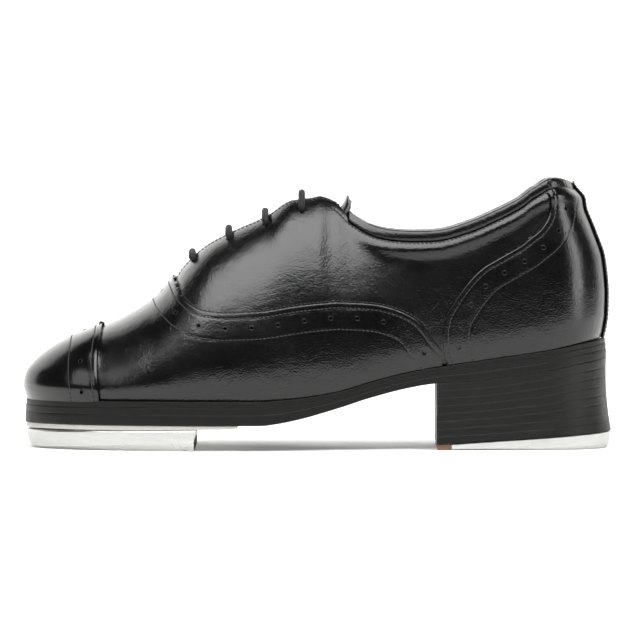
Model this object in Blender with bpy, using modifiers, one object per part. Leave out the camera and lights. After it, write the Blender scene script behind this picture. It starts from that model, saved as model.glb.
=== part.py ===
"""Left tap shoe: leather cap-toe oxford with aluminium toe and heel taps.

Frame: +X points to the toe, +Y to the wearer's left (the outer side), +Z up.
The origin is on the floor, under the middle of the shoe's box.
Dimensions are in millimetres and are turned to metres where a mesh is made.
"""
import math

import bmesh
import bpy
from mathutils import Matrix, Vector

MM = 0.001

# ---------------------------------------------------------------- sizes that drive the shoe
SHOE_LENGTH = 286.0
BALL_WIDTH = 105.0
WAIST_WIDTH = 66.5
HEEL_WIDTH = 71.0
TOE_WIDTH = 88.0             # at the rear edge of the toe cap
SOLE_TOP_FRONT = 23.6        # floor to the top of the sole edge under the ball
HEEL_RISE = 16.0             # how much higher the sole edge is at the heel breast
HEEL_SEAT_RISE = 13.9        # further rise from the breast to the very back
SOLE_EDGE_FRONT = 11.3       # welt, midsole and outsole together, at the ball
SOLE_EDGE_WAIST = 7.0
SOLE_EDGE_HEEL = 9.2
UPPER_SCALE = 1.0            # height of the upper above the sole edge
SPACE = 0.3                  # air left between two pieces that touch
LAYER_SPACE = 0.6            # the same between curved leather layers
OVERLAY_SPACE = 0.5          # the same under the toe cap and the back strip

TOE_TAP_LENGTH = 84.0
TOE_TAP_TIP = 9.0            # thickness at the toe tip
TOE_TAP_REAR = 10.4          # thickness at its rear edge
TOE_TAP_DRAFT = 2.6          # how far the wall leans in
TOE_TAP_BEVEL_TIP = 0.6      # height of the lower bevel at the tip
TOE_TAP_BEVEL_GROWTH = 4.2   # how much higher it stands at the rear
HEEL_TAP_SETBACK = 7.0       # from the heel breast to the tap's front edge
HEEL_TAP_FRONT = 2.7
HEEL_TAP_BACK = 8.5
HEEL_TAP_BEVEL = 0.5         # height of the lower bevel at the tap's front
HEEL_TAP_BEVEL_GROWTH = 0.024
TAP_BOARD_THICKNESS = 2.0    # over the toe tap
TAP_BOARD_SKIVED = 1.0       # at its thinned rear edge
TAP_BOARD_OVERHANG = 20.0    # behind the toe tap's rear edge

HEEL_BREAST = 0.297          # place of the heel breast, as a share of the length from the back
HEEL_LIFTS = 7
HEEL_FLARE = 2.4             # the heel's foot stands out behind its waist
HEEL_WAIST_IN = 0.4

FEATHER_INSET = 2.0          # upper's foot inside the sole edge
SOLE_BACK_INSET = 2.0        # sole edge inside the counter's bulge at the back
SOLE_TIP_INSET = 1.0         # the same at the toe tip

LEATHER = 1.4
OVERLAY = 1.2
STIFFENER = 1.3
LINING = 0.9
COLLAR_DEPTH = 2.4
COLLAR_THICKNESS = 0.8
SEAM_OVERLAP = 12.0          # quarter carried under the vamp
CAP_UNDERLAP = 9.0           # vamp carried under the toe cap
FACING_GAP = 5.0             # facing edge to the middle line
FACING_GAP_TOP = 6.5

EYELET_ROWS = 4
EYELET_LOWEST = 0.711        # places of the lowest and highest eyelets
EYELET_HIGHEST = 0.525
EYELET_FROM_EDGE = 9.0       # eyelet centre to the facing's edge
EYELET_BORE = 4.8
EYELET_WALL = 0.5
EYELET_FLANGE = 7.0
EYELET_FLANGE_THICKNESS = 0.6
LACE_DIAMETER = 3.4
LACE_LIFT = 0.2              # how far the lace stands off the facings
LACE_TIP_LENGTH = 18.0
LACE_TIP_DIAMETER = 2.6

SCREW_HEAD = 6.6
SCREW_HEAD_HEIGHT = 1.8
SCREW_SHANK = 3.2
SCREW_LENGTH = 9.4           # under the head
SCREW_SLOT = 1.0
SCREW_POINT = 0.7            # taper at the screw's end
SCREW_DOME = 0.9             # the head's rounded rim
SCREW_CLEARANCE = 0.35
BELOW_FLOOR = 3.0            # cutters run out this far under the taps
TOE_SCREW_SEAT = 3.0         # metal left over the screw head
HEEL_SCREW_SEAT = 1.6
# screws and nails: (word, place along the shoe, share of the half-width across)
TOE_SCREWS = [("front", 0.935, 0.0), ("lateral", 0.765, 0.66), ("medial", 0.765, -0.66)]
HEEL_SCREWS = [("back", 0.055, 0.0), ("lateral", 0.165, 0.60), ("medial", 0.165, -0.60)]
HEEL_NAILS = [("back", 0.045, 0.0), ("lateral", 0.12, 0.42), ("medial", 0.12, -0.42)]

NAIL_DIAMETER = 2.2
NAIL_LENGTH = 19.0
NAIL_HEAD_RIM = 0.8          # the head's rim, and its thickness
CORK_CLEARANCE = 0.9         # between the cork and the rand's inner edge, beside the usual space
SHANK_WIDTH = 14.0
SHANK_THICKNESS = 1.3
INSOLE_BOARD = 2.0
SOCK_THICKNESS = 1.4
HEEL_PAD_THICKNESS = 1.2
FOOT_CLEARANCE = 0.7         # the upper stands this far above the sole edge

TONGUE_LEATHER = 1.2
TONGUE_LINING = 2.0
CHANNEL_SLOPE = 1.4          # the tongue drops this much for each mm the lace's channel deepens
CHANNEL_TRIM = 4.1

# ---------------------------------------------------------------- curves of the last
# Each is a list of (share of the length from the back, value).
CENTRE_CURVE = [(0, 0.0), (0.13, 0.0), (0.29, 2.4), (0.40, 4.4), (0.50, 4.4), (0.62, 1.6),
                (0.72, -1.6), (0.865, -4.6), (1.0, -7.0)]
WIDTH_CURVE = [(0, "heel", 0.95), (0.13, "heel", 1.0), (0.29, "waist", 0.995),
               (0.36, "waist", 1.0), (0.50, "ball", 0.775), (0.62, "ball", 0.955),
               (0.70, "ball", 1.0), (0.79, "ball", 0.95), (0.865, "toe", 1.0),
               (0.93, "toe", 0.90), (1.0, "toe", 0.80)]
RISE_CURVE = [(0.297, 1.0), (0.337, 0.87), (0.367, 0.75), (0.4126, 0.53), (0.458, 0.29),
              (0.52, 0.10), (0.585, 0.0)]
SEAT_CURVE = [(0, 1.0), (0.047, 0.83), (0.105, 0.585), (0.196, 0.30), (0.297, 0.0)]
# height of the topline, and forward of it the ridge, above the sole edge
TOP_CURVE = [(0, 74.6), (0.045, 78.4), (0.087, 80.0), (0.13, 78.7), (0.157, 74.4),
             (0.196, 70.2), (0.247, 66.2), (0.29, 64.6), (0.332, 66.1), (0.371, 69.2),
             (0.406, 74.3), (0.436, 82.0), (0.468, 93.4), (0.50, 98.6), (0.54, 98.2),
             (0.591, 90.4), (0.657, 81.6), (0.692, 75.8), (0.726, 66.8), (0.752, 56.8),
             (0.782, 48.0), (0.832, 39.2), (0.865, 34.8)]
# half-width of the mouth at the topline
MOUTH_CURVE = [(0, 26.0), (0.13, 26.5), (0.247, 28.0), (0.332, 25.5), (0.39, 21.0),
               (0.44, 14.0), (0.475, 6.5), (0.51, 0.0)]
# how square the section is: (share, power)
ROUNDNESS_CURVE = [(0.34, 1.0), (0.42, 1.08), (0.47, 1.4), (0.52, 2.0), (0.865, 2.15)]
# backline: (share of the height, set in from the rearmost point)
BACK_CURVE = [(0, 2.4), (0.06, 1.2), (0.16, 0.2), (0.28, 0.0), (0.51, 1.6), (0.68, 5.9),
              (0.81, 10.0), (0.905, 13.2), (1.0, 17.0)]
# toe profile: (share of the height, set back from the toe tip)
TOE_CURVE = [(0, 1.6), (0.2, 0.0), (0.35, 1.1), (0.5, 5.1), (0.7, 13.9), (0.87, 25.0), (1.0, 36.8)]
# upper edge of the vamp's wing, above the sole edge
WING_CURVE = [(0.266, 0.0), (0.295, 10.3), (0.33, 24.2), (0.383, 34.5), (0.413, 38.3),
              (0.473, 43.7), (0.52, 44.6), (0.61, 42.9), (0.654, 42.5), (0.693, 43.8),
              (0.714, 46.8), (0.7325, 51.9), (0.745, 59.0)]
# front edge of the counter cover: (share of the height, place)
COVER_EDGE = [(0, 0.2776), (0.12, 0.2850), (0.24, 0.2863), (0.36, 0.2811), (0.47, 0.2657),
              (0.58, 0.2437), (0.655, 0.2182), (0.69, 0.1808), (0.715, 0.1399), (0.75, 0.1147),
              (0.81, 0.0951), (0.88, 0.0878), (0.956, 0.0935)]

# tongue: (place, height above the sole edge of the lace channel's roof over it) and (place, half-width)
TONGUE_CURVE = [(0.446, 105.4), (0.458, 99.6), (0.475, 96.2), (0.50, 95.8), (0.54, 94.4),
                (0.591, 87.8), (0.657, 79.0), (0.692, 73.2), (0.726, 63.4), (0.742, 57.2)]
TONGUE_WIDTHS = [(0.446, 7.0), (0.470, 10.0), (0.50, 17.0), (0.54, 21.0), (0.60, 23.0), (0.742, 19.0)]

HEEL_POLE = 0.13             # centre of the heel's round
TOE_POLE = 0.865             # centre of the toe's round, and the cap's rear edge
TOPLINE_NORMAL_LEVEL = 0.95  # along the mouth the layers keep this level's normal up to the edge
RIDGE_NORMAL_AT_CAP = (0.34, 0.0, 0.94)

COLOURS = {
    "black_leather": ((0.012, 0.012, 0.013), 0.28, 0.0),
    "black_edge": ((0.015, 0.014, 0.013), 0.45, 0.0),
    "black_cord": ((0.02, 0.02, 0.022), 0.7, 0.0),
    "lining": ((0.20, 0.19, 0.18), 0.75, 0.0),
    "board": ((0.36, 0.25, 0.15), 0.8, 0.0),
    "cork": ((0.45, 0.30, 0.17), 0.9, 0.0),
    "lift": ((0.03, 0.022, 0.017), 0.55, 0.0),
    "aluminium": ((0.78, 0.78, 0.77), 0.32, 1.0),
    "steel": ((0.55, 0.55, 0.56), 0.3, 1.0),
    "blackened": ((0.03, 0.03, 0.03), 0.35, 1.0),
    "plastic": ((0.01, 0.01, 0.01), 0.35, 0.0),
}


# ---------------------------------------------------------------- numbers from curves
def smooth(points, place):
    """Value at place on a curve that passes through the points without overshoot."""
    xs = [p[0] for p in points]
    ys = [p[1] for p in points]
    if place <= xs[0]:
        return ys[0]
    if place >= xs[-1]:
        return ys[-1]
    slopes = [(ys[i + 1] - ys[i]) / (xs[i + 1] - xs[i]) for i in range(len(xs) - 1)]
    tangents = [slopes[0]]
    for i in range(1, len(slopes)):
        a, b = slopes[i - 1], slopes[i]
        tangents.append(0.0 if a * b <= 0 else 2 * a * b / (a + b))
    tangents.append(slopes[-1])
    i = max(k for k in range(len(xs) - 1) if xs[k] <= place)
    width = xs[i + 1] - xs[i]
    t = (place - xs[i]) / width
    return ((2 * t ** 3 - 3 * t ** 2 + 1) * ys[i] + (t ** 3 - 2 * t ** 2 + t) * width * tangents[i]
            + (3 * t ** 2 - 2 * t ** 3) * ys[i + 1] + (t ** 3 - t ** 2) * width * tangents[i + 1])


def share(x):
    """Place along the shoe, from 0 at the back to 1 at the toe."""
    return x / SHOE_LENGTH + 0.5


def station(u):
    return (u - 0.5) * SHOE_LENGTH


HEEL_X = station(HEEL_POLE)
TOE_X = station(TOE_POLE)
BREAST_X = station(HEEL_BREAST)
HEEL_REACH = HEEL_X - station(0)
TOE_REACH = station(1) - TOE_X
HALF_WIDTHS = {"heel": HEEL_WIDTH / 2, "waist": WAIST_WIDTH / 2,
               "ball": BALL_WIDTH / 2, "toe": TOE_WIDTH / 2}
WIDTH_POINTS = [(u, HALF_WIDTHS[zone] * part) for u, zone, part in WIDTH_CURVE]
PLACES = [i / 100 for i in range(101)]
WIDEST_OUTER = max(smooth(CENTRE_CURVE, u) + smooth(WIDTH_POINTS, u) for u in PLACES)
WIDEST_INNER = max(smooth(WIDTH_POINTS, u) - smooth(CENTRE_CURVE, u) for u in PLACES)
PLAN_MIDDLE = (WIDEST_OUTER - WIDEST_INNER) / 2
LAYER_1 = OVERLAY_SPACE + OVERLAY                     # outside of the toe cap and the back strip
LAYER_3 = -LEATHER - LAYER_SPACE                      # outside of the quarters
LAYER_4 = LAYER_3 - LEATHER - LAYER_SPACE             # outside of the stiffeners
LINING_FRONT = LAYER_4
LINING_HEEL = LAYER_4 - STIFFENER - LAYER_SPACE


def centre_y(x):
    return smooth(CENTRE_CURVE, share(x)) - PLAN_MIDDLE


def half_width(x):
    return smooth(WIDTH_POINTS, share(x))


def sole_top(x):
    """Height of the top of the sole edge."""
    u = share(x)
    return SOLE_TOP_FRONT + HEEL_RISE * smooth(RISE_CURVE, u) + HEEL_SEAT_RISE * smooth(SEAT_CURVE, u)


def sole_edge(x):
    """Thickness of welt, midsole and outsole together."""
    return smooth([(0, SOLE_EDGE_HEEL), (0.20, SOLE_EDGE_HEEL), (0.33, SOLE_EDGE_WAIST),
                   (0.43, SOLE_EDGE_WAIST), (0.60, SOLE_EDGE_FRONT), (1, SOLE_EDGE_FRONT)], share(x))


def fan(x):
    """Sine and cosine of the angle round the heel or toe, and which end it is."""
    if x < HEEL_X:
        sine = min((HEEL_X - x) / HEEL_REACH, 1.0)
        return -1, sine, math.sqrt(max(1 - sine * sine, 0.0))
    if x > TOE_X:
        sine = min((x - TOE_X) / TOE_REACH, 1.0)
        return 1, sine, math.sqrt(max(1 - sine * sine, 0.0))
    return 0, 0.0, 1.0


def sole_point(side, x, inset=0.0):
    """Plan position of the sole edge at a nominal station, moved in by inset."""
    end, sine, cosine = fan(x)
    if end < 0:
        x = HEEL_X - (HEEL_REACH - SOLE_BACK_INSET - inset) * sine
    elif end > 0:
        x = TOE_X + (TOE_REACH - SOLE_TIP_INSET - inset) * sine
    return x, centre_y(x) + side * (half_width(x) - inset) * cosine


# ---------------------------------------------------------------- surface of the lasted upper
def section(x, rise):
    """Half-width of the upper at a station, at a share of its height."""
    u = share(x)
    mouth = smooth(MOUTH_CURVE, u)
    widest = half_width(x) - FEATHER_INSET + 1.6
    roundness = smooth(ROUNDNESS_CURVE, u)
    crown = max(1 - rise ** 2.1, 0.0) ** (1 / roundness)
    swell = 1.0 if rise > 0.22 else 1 - 0.045 * (1 - rise / 0.22) ** 2
    return (mouth + (widest - mouth) * crown) * swell


def upper_point(side, x, q):
    """Point of the outer leather surface: q is 0 at the sole and 1 at the topline or ridge."""
    rise = math.sin(q * math.pi / 2)
    end, sine, cosine = fan(x)
    if end < 0:
        foot_x = HEEL_X - HEEL_REACH * sine
        low = sole_top(foot_x) + SPACE
        high = low + UPPER_SCALE * smooth(TOP_CURVE, share(x))
        z = low + (high - low) * rise
        reach = HEEL_REACH - LAYER_1 - smooth(BACK_CURVE, rise)
        return Vector((HEEL_X - reach * sine, centre_y(x) + side * section(HEEL_X, rise) * cosine, z))
    if end > 0:
        low = sole_top(x) + SPACE
        high = low + UPPER_SCALE * smooth(TOP_CURVE, TOE_POLE)
        z = low + (high - low) * rise
        reach = (TOE_REACH - LAYER_1) * (1 - smooth(TOE_CURVE, rise) / TOE_CURVE[-1][1])
        place = TOE_X + reach * sine
        width = section(TOE_X, rise) * half_width(place) / half_width(TOE_X)
        return Vector((place, centre_y(place) + side * width * cosine, z))
    low = sole_top(x) + SPACE
    high = low + UPPER_SCALE * smooth(TOP_CURVE, share(x))
    return Vector((x, centre_y(x) + side * section(x, rise), low + (high - low) * rise))


def outward(side, x, q):
    """Unit normal of the outer surface."""
    step_x, step_q = 0.4, 0.004
    if share(x) < 0.51:
        q = min(q, TOPLINE_NORMAL_LEVEL)
    x0, x1 = max(x - step_x, station(0) + 0.02), min(x + step_x, station(1) - 0.02)
    q0, q1 = max(q - step_q, 0.0), min(q + step_q, 1.0)
    if fan(x)[0] > 0 or fan(x0)[0] > 0:
        q1 = min(q1, 0.985)
        q0 = min(q0, q1 - step_q)
    along = upper_point(side, x1, q) - upper_point(side, x0, q)
    if along.length < 1e-6:
        along = Vector((1, 0, -0.36))
    up = upper_point(side, x, q1) - upper_point(side, x, q0)
    normal = along.cross(up) * side * -1
    return normal.normalized() * (1 if normal.length > 0 else 0)


def skin(side, x, q, offset):
    """Point at a distance outside (+) or inside (-) the outer surface."""
    point = upper_point(side, x, q)
    on_ridge = q > 0.9999 and share(x) > 0.51
    if on_ridge and x >= TOE_X - 1e-6:
        return point + Vector(RIDGE_NORMAL_AT_CAP) * offset
    normal = outward(side, x, q)
    if on_ridge or min(abs(x - station(0)), abs(x - station(1))) < 1e-6:
        normal = Vector((normal.x, 0, normal.z)).normalized()
    return point + normal * offset


def q_at_height(x, height):
    """Level q at which the surface is a given height above the sole edge."""
    total = UPPER_SCALE * smooth(TOP_CURVE, share(min(x, TOE_X)))
    return math.asin(min(max(height / total, 0.0), 1.0)) * 2 / math.pi


def q_at_half_width(x, gap):
    """Level q at which the closed part of the upper comes within gap of the middle line."""
    low, high = 0.5, 1.0
    if section(x, 1.0) >= gap:
        return 1.0
    for _ in range(40):
        middle = (low + high) / 2
        if section(x, math.sin(middle * math.pi / 2)) > gap:
            low = middle
        else:
            high = middle
    return low


def facing_gap(x):
    return smooth([(0.50, FACING_GAP_TOP), (0.74, FACING_GAP)], share(x))


def facing_q(x):
    """Topline behind, facing edge in front."""
    return q_at_half_width(x, facing_gap(x)) if share(x) > 0.44 else 1.0


def foot_q(x):
    """Lower edge of the upper's pieces, just clear of the sole edge."""
    return q_at_height(x, FOOT_CLEARANCE)


def wing_q(x):
    """Upper edge of the vamp."""
    if share(x) >= WING_CURVE[-1][0]:
        return 1.0
    height = UPPER_SCALE * smooth(WING_CURVE, share(x))
    return q_at_height(x, height)


# ---------------------------------------------------------------- making objects
parts = bpy.data.collections.new("tap_shoe")
cutters = bpy.data.collections.new("cutters")
materials = {}


def material(name):
    if name not in materials:
        colour, roughness, metallic = COLOURS[name]
        mat = bpy.data.materials.new(name)
        mat.use_nodes = True
        shader = mat.node_tree.nodes["Principled BSDF"]
        shader.inputs["Base Color"].default_value = (*colour, 1.0)
        shader.inputs["Roughness"].default_value = roughness
        shader.inputs["Metallic"].default_value = metallic
        materials[name] = mat
    return materials[name]


def add_object(name, mesh, finish, collection=None):
    obj = bpy.data.objects.new(name, mesh)
    (collection or parts).objects.link(obj)
    if finish:
        mesh.materials.append(material(finish))
    return obj


def mesh_from(name, vertices, faces, merge=0.02):
    """Mesh in metres from points in millimetres, with coincident points merged."""
    mesh = bpy.data.meshes.new(name)
    bm = bmesh.new()
    made = [bm.verts.new(Vector(v) * MM) for v in vertices]
    for face in faces:
        bm.faces.new([made[i] for i in face])
    bmesh.ops.remove_doubles(bm, verts=bm.verts, dist=merge * MM)
    bmesh.ops.dissolve_degenerate(bm, dist=1e-7, edges=bm.edges)
    bm.to_mesh(mesh)
    bm.free()
    mesh.shade_smooth()
    mesh.set_sharp_from_angle(angle=math.radians(38))
    return mesh


def grid_faces(rows, columns, first=0):
    return [(first + r * columns + c, first + r * columns + c + 1,
             first + (r + 1) * columns + c + 1, first + (r + 1) * columns + c)
            for r in range(rows - 1) for c in range(columns - 1)]


def leather_shell(name, patches, thickness, finish):
    """Open sheet made of grids of points, given its thickness inward by Solidify."""
    vertices, faces = [], []
    for grid in patches:
        first = len(vertices)
        vertices += [point for row in grid for point in row]
        faces += grid_faces(len(grid), len(grid[0]), first)
    mesh = mesh_from(name, vertices, faces)
    bm = bmesh.new()
    bm.from_mesh(mesh)
    bmesh.ops.recalc_face_normals(bm, faces=bm.faces)
    middle = sum((v.co for v in bm.verts), Vector()) / len(bm.verts)
    votes = sum(1 if f.normal.dot(f.calc_center_median() - middle) > 0 else -1 for f in bm.faces)
    if votes < 0:
        bmesh.ops.reverse_faces(bm, faces=bm.faces)
    bm.to_mesh(mesh)
    bm.free()
    obj = add_object(name, mesh, finish)
    solid = obj.modifiers.new("thickness", "SOLIDIFY")
    solid.thickness = thickness * MM
    solid.offset = -1
    return obj


def ladder(name, stations, edge, bottom, top, finish, merge=0.02):
    """Solid with the plan given by edge(side, x), between two heights that change along X."""
    vertices = []
    for x in stations:
        for side in (1, -1):
            px, py = edge(side, x)
            vertices += [(px, py, bottom(px)), (px, py, top(px))]
    faces = []
    for i in range(len(stations) - 1):
        a, b = 4 * i, 4 * (i + 1)
        faces += [(a, a + 2, b + 2, b), (a + 1, b + 1, b + 3, a + 3),
                  (a, b, b + 1, a + 1), (a + 2, a + 3, b + 3, b + 2)]
    last = 4 * (len(stations) - 1)
    faces += [(0, 1, 3, 2), (last, last + 2, last + 3, last + 1)]
    mesh = bpy.data.meshes.new(name)
    bm = bmesh.new()
    made = [bm.verts.new(Vector(v) * MM) for v in vertices]
    for face in faces:
        bm.faces.new([made[i] for i in face])
    bmesh.ops.remove_doubles(bm, verts=bm.verts, dist=merge * MM)
    bmesh.ops.recalc_face_normals(bm, faces=bm.faces)
    bm.to_mesh(mesh)
    bm.free()
    mesh.shade_smooth()
    mesh.set_sharp_from_angle(angle=math.radians(38))
    return add_object(name, mesh, finish)


def turned(name, profile, centre, axis, finish, steps=12, collection=None):
    """Solid of revolution: profile is (radius, height) from the top of its axis down."""
    mesh = bpy.data.meshes.new(name)
    mesh.from_pydata([(r * MM, 0, h * MM) for r, h in profile],
                     [(i, i + 1) for i in range(len(profile) - 1)], [])
    obj = add_object(name, mesh, finish, collection)
    screw = obj.modifiers.new("turn", "SCREW")
    screw.steps = steps
    screw.render_steps = steps
    screw.use_merge_vertices = True
    screw.merge_threshold = 1e-6
    screw.use_smooth_shade = False
    turn = Vector((0, 0, 1)).rotation_difference(Vector(axis))
    obj.matrix_world = Matrix.Translation(Vector(centre) * MM) @ turn.to_matrix().to_4x4()
    return obj


def cut(obj, cutter):
    cutter.hide_render = True
    cutter.display_type = "WIRE"
    boolean = obj.modifiers.new("hole", "BOOLEAN")
    boolean.object = cutter
    boolean.operation = "DIFFERENCE"
    boolean.solver = "EXACT"


def cylinder_cutter(name, centre, axis, radius, length, steps=12):
    return turned(name, [(0, length / 2), (radius, length / 2), (radius, -length / 2), (0, -length / 2)],
                  centre, axis, None, steps, cutters)


# ---------------------------------------------------------------- stations shared by the layers
def heel_stations(count, limit=1.0):
    """Nominal stations round the heel, from the back to the side, at even angles."""
    most = math.asin(limit)
    return [HEEL_X - HEEL_REACH * math.sin(most * (1 - i / count)) for i in range(count)]


def toe_stations(count, limit=1.0):
    most = math.asin(limit)
    return [TOE_X + TOE_REACH * math.sin(most * i / count) for i in range(1, count + 1)]


def closing(start, stop, count):
    """Stations that crowd together towards stop."""
    return [stop - (stop - start) * (1 - i / (count - 1)) ** 2 for i in range(count)]


def even(start, stop, count):
    return [start + (stop - start) * i / (count - 1) for i in range(count)]


def full_stations():
    return heel_stations(7) + even(HEEL_X, TOE_X, 21) + toe_stations(7)


def both_sides(xs, levels, offset):
    """Grids of the two sides of the upper for stations xs, each with its own levels."""
    return [[[skin(side, x, q, offset(x) if callable(offset) else offset) for q in levels(x)]
             for x in xs] for side in (1, -1)]


def levels_between(low, high, rows):
    return lambda x: even(low(x), high(x), rows)


# ---------------------------------------------------------------- the upper
def lining_offset(x):
    """Level of the lining's outer face, which dips away under the mouth's front corners."""
    corner = LINING_FRONT - CORNER_SPACE
    return smooth([(0.30, LINING_HEEL), (0.40, corner), (0.46, corner), (0.485, LINING_FRONT)], share(x))


def zero(_):
    return 0.0


def one(_):
    return 1.0


def build_toe_cap():
    xs = [TOE_X] + toe_stations(11)
    grids = both_sides(xs, levels_between(foot_q, one, 10), LAYER_1)
    leather_shell("toe_cap", grids, OVERLAY, "black_leather")


def build_toe_puff():
    start = TOE_X + CAP_UNDERLAP + 1.0
    angle = math.asin((start - TOE_X) / TOE_REACH)
    xs = [TOE_X + TOE_REACH * math.sin(angle + (math.pi / 2 - angle) * i / 9) for i in range(10)]
    grids = both_sides(xs, levels_between(foot_q, lambda x: 0.74, 7), -LAYER_SPACE)
    leather_shell("toe_puff", grids, STIFFENER, "board")


def build_vamp():
    """Front of the upper with its two wings; the quarters' front edges lie under it."""
    wing_end = station(max(place for _, place in COVER_EDGE)) + LAYER_SPACE
    throat = station(WING_CURVE[-1][0])
    under_cap = math.asin(CAP_UNDERLAP / TOE_REACH)
    middle = station(0.60)
    xs = even(wing_end, middle, 11) + closing(middle, throat, 9)[1:] + even(throat, TOE_X, 6)[1:]
    xs += [TOE_X + TOE_REACH * math.sin(under_cap)]
    grids = both_sides(xs, levels_between(foot_q, wing_q, 8), 0.0)
    leather_shell("vamp", grids, LEATHER, "black_leather")


CORNER_SPACE = 0.5
BACK_SEAM = 0.9995           # sine of the angle at which the quarters end at the back
FACING_FOOT = station(WING_CURVE[-1][0]) - 6.0


def quarter_levels(x):
    height = UPPER_SCALE * smooth(WING_CURVE, share(x)) - SEAM_OVERLAP
    low = q_at_height(x, max(height, FOOT_CLEARANCE))
    return even(low, facing_q(x), 8)


def quarter_stations():
    corner, facing = station(0.42), station(0.49)
    return (heel_stations(6, BACK_SEAM) + even(HEEL_X, corner, 9) + even(corner, facing, 8)[1:]
            + even(facing, FACING_FOOT, 10)[1:])


def build_quarters():
    made = {}
    for side, name in ((1, "quarter_lateral"), (-1, "quarter_medial")):
        grid = [[skin(side, x, q, LAYER_3) for q in quarter_levels(x)] for x in quarter_stations()]
        made[side] = leather_shell(name, [grid], LEATHER - 0.1, "black_leather")
    return made


def cover_station(rise, t):
    """Station at a share t of the way from the cover's front edge to the back."""
    front = (HEEL_X - station(smooth(COVER_EDGE, rise))) / HEEL_REACH
    edge_angle = front if front < 0 else math.asin(front)
    angle = edge_angle + (math.pi / 2 - edge_angle) * t
    return HEEL_X - HEEL_REACH * (angle if angle < 0 else math.sin(angle))


def build_counter_cover():
    rises = [0.01, 0.14, 0.28, 0.42, 0.55, 0.62, 0.655, 0.675, 0.69, 0.703, 0.715, 0.735, 0.76, 0.81, 0.87,
             0.956]
    columns = even(0, 1, 12)
    grids = [[[skin(side, cover_station(rise, t), math.asin(rise) * 2 / math.pi, 0.0)
               for rise in rises] for t in columns] for side in (1, -1)]
    leather_shell("heel_counter_cover", grids, LEATHER, "black_leather")


def build_back_strip():
    half_angle = math.radians(13)
    angles = even(math.pi / 2 - half_angle, math.pi / 2, 3)
    xs = [HEEL_X - HEEL_REACH * math.sin(a) for a in angles]
    grids = both_sides(xs, levels_between(foot_q, one, 10), LAYER_1)
    leather_shell("back_strip", grids, OVERLAY, "black_leather")


def build_heel_stiffener():
    front = station(0.33)
    xs = heel_stations(6) + even(HEEL_X, front, 8)
    top = lambda x: smooth([(0, 0.66), (0.13, 0.60), (0.33, 0.28)], share(x))
    grids = both_sides(xs, levels_between(foot_q, top, 6), LAYER_4)
    leather_shell("heel_stiffener", grids, STIFFENER, "board")


def build_linings():
    xs = heel_stations(6) + quarter_stations()[6:]
    grids = both_sides(xs, levels_between(foot_q, facing_q, 8), lining_offset)
    quarter = leather_shell("quarter_lining", grids, LINING, "lining")
    xs = even(FACING_FOOT + 1.5, TOE_X, 8) + toe_stations(7)
    grids = both_sides(xs, levels_between(foot_q, one, 9), LINING_FRONT)
    leather_shell("vamp_lining", grids, LINING, "lining")
    return quarter


def build_collar_binding():
    """Folded strip over the topline: an upside-down U swept from facing to facing."""
    sides = [x for x in reversed(quarter_stations()[6:]) if x < station(0.445)]
    half = sides + list(reversed(heel_stations(6)))
    path = [(1, x) for x in half] + [(-1, x) for x in reversed(half[:-1])]
    rings = []
    for side, x in path:
        total = UPPER_SCALE * smooth(TOP_CURVE, share(x))
        low = q_at_height(x, total - COLLAR_DEPTH)
        outer = LAYER_3 + LAYER_SPACE
        inner = lining_offset(x) - LINING - LAYER_SPACE
        ring = []
        for grow in (COLLAR_THICKNESS, 0.0):
            up = Vector((0, 0, LAYER_SPACE + grow))
            legs = [skin(side, x, low, outer + grow), skin(side, x, 1.0, outer + grow) + up,
                    skin(side, x, 1.0, inner - grow) + up, skin(side, x, low, inner - grow)]
            ring += legs if grow else list(reversed(legs))
        rings.append(ring)
    lofted_plate("collar_binding", rings, "black_leather")


# ---------------------------------------------------------------- levels of the eyelets and the lace
LINING_INSIDE = LINING_FRONT - LINING
FLANGE_TOP = LINING_INSIDE - 2.5 * SPACE
FLANGE_INSIDE = FLANGE_TOP - EYELET_FLANGE_THICKNESS
LACE_UNDER = FLANGE_INSIDE - 2 * SPACE - LACE_DIAMETER / 2
LACE_OVER = LAYER_3 + SPACE + LACE_DIAMETER / 2 + LACE_LIFT
LACE_CHANNEL = LACE_DIAMETER / 2 - LACE_UNDER          # outer surface to the under-lace's lower side
TONGUE_DROP = CHANNEL_SLOPE * LACE_CHANNEL - CHANNEL_TRIM


# ---------------------------------------------------------------- tongue
TONGUE_ROOT = station(TONGUE_CURVE[-1][0])
TONGUE_TIP = station(TONGUE_CURVE[0][0])


def tongue_surface(x, across):
    """Top of the tongue at a share across, from -1 to 1."""
    height = UPPER_SCALE * smooth(TONGUE_CURVE, share(x)) - TONGUE_DROP
    y = across * smooth(TONGUE_WIDTHS, share(x))
    span = half_width(x) - FEATHER_INSET - 9.0
    sag = height * (1 - math.sqrt(max(1 - (y / span) ** 2, 0.0)))
    return Vector((x, centre_y(x) + y, sole_top(x) + height - sag))


def tongue_point(x, across, drop):
    """Point a distance below the top of the tongue."""
    step = 0.5
    along = tongue_surface(x + step, across) - tongue_surface(x - step, across)
    over = tongue_surface(x, across + 0.02) - tongue_surface(x, across - 0.02)
    return tongue_surface(x, across) - along.cross(over).normalized() * drop


def tongue_sheet(name, drop, thickness, margin, finish):
    xs = even(TONGUE_TIP + margin + 0.5, TONGUE_ROOT - margin - 0.5, 15)
    share_in = 1 - margin / TONGUE_WIDTHS[-1][1]
    grid = [[tongue_point(x, across * share_in, drop) for across in even(-1, 1, 7)] for x in xs]
    mesh = mesh_from(name, [p for row in grid for p in row], grid_faces(len(grid), 7))
    bm = bmesh.new()
    bm.from_mesh(mesh)
    if sum(face.normal.z for face in bm.faces) < 0:
        bmesh.ops.reverse_faces(bm, faces=bm.faces)
    bm.to_mesh(mesh)
    bm.free()
    obj = add_object(name, mesh, finish)
    solid = obj.modifiers.new("thickness", "SOLIDIFY")
    solid.thickness = thickness * MM
    solid.offset = -1
    return obj


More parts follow.
